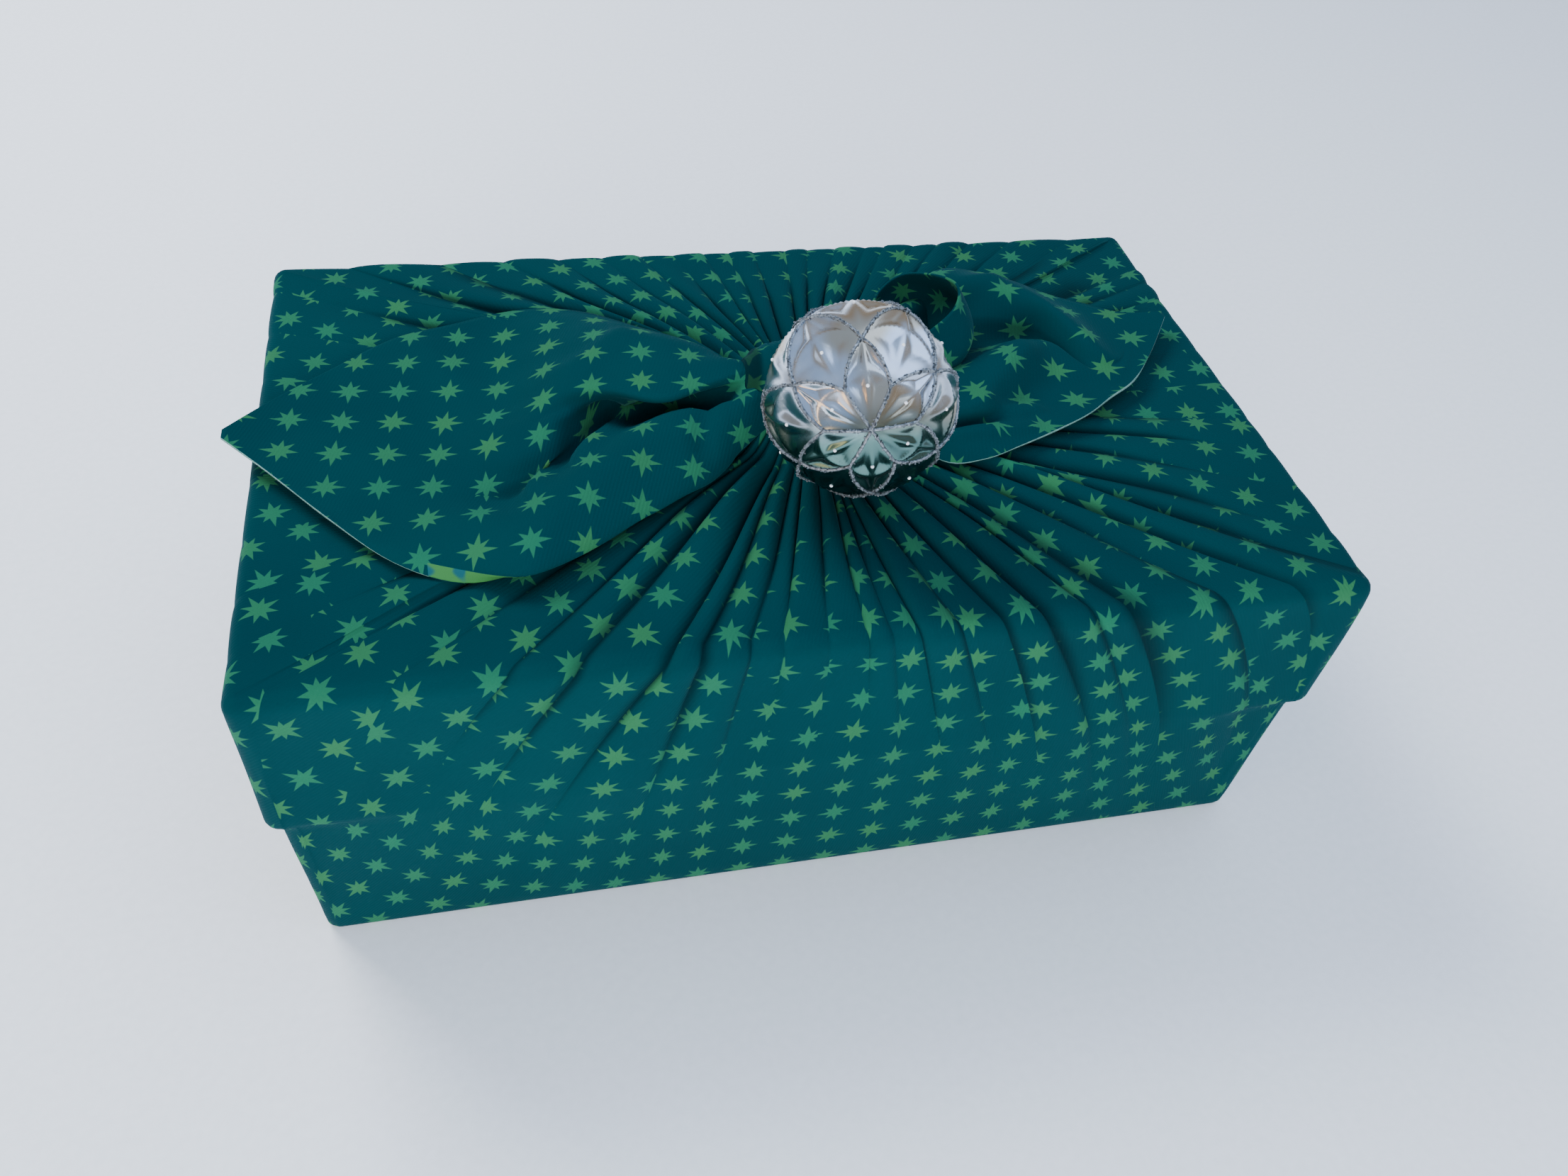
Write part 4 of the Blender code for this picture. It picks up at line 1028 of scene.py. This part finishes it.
# silvered glass: blown thin and silvered, so it reflects like polished metal under a clear coat.
# Small waves and warmer patches of an old silvering break the reflections up
def makeSilveredGlass():
    made, tree, shader = newMaterial("silvered glass, blown")
    place = addNode(tree, "ShaderNodeTexCoord").outputs["Object"]
    waves = addNode(tree, "ShaderNodeTexNoise", Vector=place, Scale=130.0, Detail=2.0)
    silver = addNode(tree, "ShaderNodeMix", colours, i0=waves, i6="#b9c9dc", i7="#f4f6f8")
    patches = addNode(tree, "ShaderNodeTexNoise", Vector=place, Scale=38.0, Detail=0.0)
    old = addNode(tree, "ShaderNodeMapRange", eased, i0=patches, i1=0.5, i2=0.62)
    warmed = addNode(tree, "ShaderNodeMix", colours, i0=old, i6=silver, i7="#cdbfa9")
    # painted reflection: the front underside is tinted as dark as the cloth that it mirrors
    raised = addNode(tree, "ShaderNodeVectorMath", {"operation": "DOT_PRODUCT"}, i0=place,
                     i1=(0.0, 0.71, 0.70))
    bright = addNode(tree, "ShaderNodeMapRange", eased, i0=raised, i1=0.069, i2=0.083)
    toneWithPaintedReflection = addNode(tree, "ShaderNodeMix", colours, i0=bright, i6="#5b7d76", i7=warmed)
    rough = addNode(tree, "ShaderNodeMapRange", i0=waves, i3=0.2, i4=0.32)
    bump = addNode(tree, "ShaderNodeBump", Strength=0.1, Distance=0.0006, Height=waves)
    feed(tree, shader, Base_Color=toneWithPaintedReflection, Metallic=1.0, Roughness=rough, Coat_Weight=0.25,
         Coat_Roughness=0.04, Normal=bump)
    return made


# glitter: chips of foil in clear glue; each grain's colour is picked at random from near black to pale, a
# painted glint on top of the real reflections of the foil
def makeGlitter():
    made, tree, shader = newMaterial("glitter, foil chips in glue")
    place = addNode(tree, "ShaderNodeTexCoord").outputs["Object"]
    # painted glint: random dark and pale cells stand for chips turned towards the light and away from it
    chips = addNode(tree, "ShaderNodeTexVoronoi", Vector=place, Scale=1600.0).outputs["Color"]
    colour = addNode(tree, "ShaderNodeMix", colours, i0=chips, i6="#15191c", i7="#c3cacf")
    feed(tree, shader, Base_Color=colour, Metallic=0.8, Roughness=0.45)
    return made


# grains follow the petals' edges: a thin bead of glue with foil grains set in it at random
def glitterTree(material):
    tree = bpy.data.node_groups.new("glitter along edges", "GeometryNodeTree")
    face = tree.interface
    face.new_socket("Geometry", in_out="INPUT", socket_type="NodeSocketGeometry")
    for name, kind, value in (
        ("Rope radius", "Float", bauble["ropeRadius"] * mm), ("Grain size", "Float", bauble["grain"] * mm),
        ("Grain spacing", "Float", mm / bauble["grainsPerMm"]), ("Seed", "Int", bauble["seed"]),
    ):
        face.new_socket(name, in_out="INPUT", socket_type="NodeSocket" + kind).default_value = value
    face.new_socket("Geometry", in_out="OUTPUT", socket_type="NodeSocketGeometry")
    source, result = tree.nodes.new("NodeGroupInput").outputs, tree.nodes.new("NodeGroupOutput")
    rope, seed, vector = source["Rope radius"], source["Seed"], {"data_type": "FLOAT_VECTOR"}
    line = addNode(tree, "GeometryNodeMeshToCurve", Mesh=source["Geometry"])
    ring = addNode(tree, "GeometryNodeCurvePrimitiveCircle", Resolution=5, Radius=rope)
    tube = addNode(tree, "GeometryNodeCurveToMesh", Curve=line, i1=ring)
    spots = addNode(tree, "GeometryNodeCurveToPoints", {"mode": "LENGTH"}, Curve=line,
                    Length=source["Grain spacing"])
    jitter = addNode(tree, "FunctionNodeRandomValue", vector, Min=(-1.0,) * 3, Max=(1.0,) * 3, Seed=seed)
    spread = addNode(tree, "ShaderNodeVectorMath", {"operation": "SCALE"}, i0=jitter, Scale=rope)
    moved = addNode(tree, "GeometryNodeSetPosition", Geometry=spots, Offset=spread)
    grain = addNode(tree, "GeometryNodeMeshIcoSphere", Radius=source["Grain size"], Subdivisions=1)
    spin = addNode(tree, "FunctionNodeRandomValue", vector, Min=(0.0,) * 3, Max=(6.28,) * 3, Seed=seed)
    size = addNode(tree, "FunctionNodeRandomValue", {"data_type": "FLOAT"}, i2=0.5, i3=1.0, Seed=seed)
    grains = addNode(tree, "GeometryNodeInstanceOnPoints", Points=moved, Instance=grain,
                     Rotation=spin, Scale=size)
    real = addNode(tree, "GeometryNodeRealizeInstances", Geometry=grains)
    both = addNode(tree, "GeometryNodeJoinGeometry", Geometry=real)
    feed(tree, both, Geometry=tube)
    done = addNode(tree, "GeometryNodeSetMaterial", Geometry=both, Material=material)
    feed(tree, result, Geometry=done)
    return tree


def buildGlitter(material):
    shape, known = bmesh.new(), {}

    def corner(point):
        point = point.normalized() * (bauble["radius"] + bauble["ropeLift"])
        key = tuple(round(value, 2) for value in point)
        if key not in known:
            known[key] = shape.verts.new(point)
        return known[key]

    hearts = []
    for ends in petalCells():
        hearts.append(sum(ends, Vector()).normalized() * (bauble["radius"] - bauble["beadSunk"]))
        for one, two in zip(ends, ends[1:] + ends[:1]):
            edge = petalEdge(one, two)
            for a, b in zip(edge, edge[1:]):
                a, b = corner(a), corner(b)
                if a is not b and shape.edges.get((a, b)) is None:
                    shape.edges.new((a, b))
    lines = bpy.data.meshes.new("glitterLines")
    shape.transform(baubleFrame())
    shape.to_mesh(lines)
    shape.free()
    made = newObject("baubleGlitter", lines)
    made.modifiers.new("glitter", "NODES").node_group = glitterTree(material)
    mesh = bpy.data.meshes.new_from_object(made.evaluated_get(bpy.context.evaluated_depsgraph_get()))
    mesh.name = "baubleGlitter"
    made.modifiers.clear()
    made.data = mesh
    bpy.data.meshes.remove(lines)
    shape = bmesh.new()
    shape.from_mesh(mesh)
    for heart in hearts:        # a drop of glitter on the middle of each petal
        at = Matrix.Translation(baubleFrame() @ heart)
        bmesh.ops.create_icosphere(shape, subdivisions=2, radius=bauble["bead"] * mm, matrix=at)
    shape.to_mesh(mesh)
    shape.free()
    return made


baubleGlass = buildGlass()
baubleGlass.data.materials.append(makeSilveredGlass())
baubleGlitter = buildGlitter(makeGlitter())
for piece in (baubleGlass, baubleGlitter):
    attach(piece, "root")
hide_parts("bauble")
print("bauble built:", len(baubleGlitter.data.polygons), "glitter faces")


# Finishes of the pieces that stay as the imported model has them

# grey board: pressed waste paper, so it is matt and flecked with fibres of other shades
def makeGreyBoard():
    made, tree, shader = newMaterial("grey board, pressed")
    place = addNode(tree, "ShaderNodeTexCoord").outputs["Object"]
    flecks = addNode(tree, "ShaderNodeTexNoise", Vector=place, Scale=420.0, Detail=5.0, Roughness=0.7)
    colour = addNode(tree, "ShaderNodeMix", colours, i0=flecks, i6="#9a8f7c", i7="#cfc6b4")
    bump = addNode(tree, "ShaderNodeBump", Strength=0.3, Distance=0.0002, Height=flecks)
    feed(tree, shader, Base_Color=colour, Roughness=0.92, Normal=bump)
    return made


# tinplate: rolled and stamped, so it shines with fine parallel marks
def makeTinplate():
    made, tree, shader = newMaterial("tinplate, stamped")
    place = addNode(tree, "ShaderNodeTexCoord").outputs["Object"]
    drawn = addNode(tree, "ShaderNodeMapping", Vector=place, Scale=(60.0, 900.0, 60.0))
    marks = addNode(tree, "ShaderNodeTexNoise", Vector=drawn, Scale=4.0, Detail=2.0)
    colour = addNode(tree, "ShaderNodeMix", colours, i0=marks, i6="#a9a8a2", i7="#d6d5cf")
    feed(tree, shader, Base_Color=colour, Metallic=1.0, Roughness=0.34)
    return made


greyBoard, tinplate = makeGreyBoard(), makeTinplate()
for name, finish in (("gift_box_lid", greyBoard), ("gift_box_base", greyBoard), ("bauble_cap", tinplate)):
    for materialSlot in frame["nodes"][name].material_slots:
        materialSlot.material = finish
print("finishes set")


# plain pale floor, soft studio light, and a bright soft patch of sky overhead, called the window
studio = {
    "floor": "#fafafa", "floorDeep": "#eff0f0", "sky": "#b9d3f8", "horizon": "#a99c8a", "skyStrength": 0.8,
    "window": (0.43, 0.09, 0.89), "windowFrom": 0.78, "windowFull": 0.93, "windowStrength": 2.6,
    "skyFull": 0.75, "lampsFace": (0, 0, 0.08),
    "key": {"at": (-0.7, 0.85, 1.25), "size": 0.7, "power": 32.0, "colour": "#f2f7ff"},
    "fill": {"at": (-0.35, -1.5, 0.5), "size": 1.1, "power": 46.0, "colour": "#e4eefa"},
    "warm": {"at": (-0.9, -0.5, 0.35), "size": 0.35, "power": 1.6, "colour": "#ffc890"},
}


def buildStudio():
    mesh = bpy.data.meshes.new("studioFloor")
    mesh.from_pydata([(-4, -4, 0), (4, -4, 0), (4, 4, 0), (-4, 4, 0)], [], [(0, 1, 2, 3)])
    floor = newObject("studioFloor", mesh)
    paper, tree, shader = newMaterial("matt background paper")
    place = addNode(tree, "ShaderNodeTexCoord").outputs["Object"]
    fibre = addNode(tree, "ShaderNodeTexNoise", Vector=place, Scale=300.0)
    colour = addNode(tree, "ShaderNodeMix", colours, i0=fibre, i6=studio["floorDeep"], i7=studio["floor"])
    feed(tree, shader, Base_Color=colour, Roughness=0.9)
    mesh.materials.append(paper)
    for name in ("key", "fill", "warm"):
        look = studio[name]
        light = bpy.data.lights.new(name, "AREA")
        light.size, light.energy, light.color = look["size"], look["power"], hexColour(look["colour"])[:3]
        lamp = newObject(name, light)
        lamp.location = look["at"]
        lamp.visible_glossy = name == "warm"        # the only lamp that the bauble shows
        facing = Vector(studio["lampsFace"]) - Vector(look["at"])
        lamp.rotation_euler = facing.to_track_quat("-Z", "Y").to_euler()
    world = bpy.context.scene.world or bpy.data.worlds.new("studioWorld")
    bpy.context.scene.world = world
    world.use_nodes = True
    tree = world.node_tree
    toward = addNode(tree, "ShaderNodeTexCoord").outputs["Generated"]
    up = addNode(tree, "ShaderNodeSeparateXYZ", i0=toward).outputs[2]
    share = addNode(tree, "ShaderNodeMapRange", eased, i0=up, i1=0.0, i2=studio["skyFull"])
    colour = addNode(tree, "ShaderNodeMix", colours, i0=share, i6=studio["horizon"], i7=studio["sky"])
    near = addNode(tree, "ShaderNodeVectorMath", {"operation": "DOT_PRODUCT"}, i0=toward, i1=studio["window"])
    power = addNode(tree, "ShaderNodeMapRange", eased, i0=near, i1=studio["windowFrom"],
                    i2=studio["windowFull"], i3=studio["skyStrength"], i4=studio["windowStrength"])
    feed(tree, tree.nodes["Background"], Color=colour, Strength=power)


buildStudio()
print("studio lit")
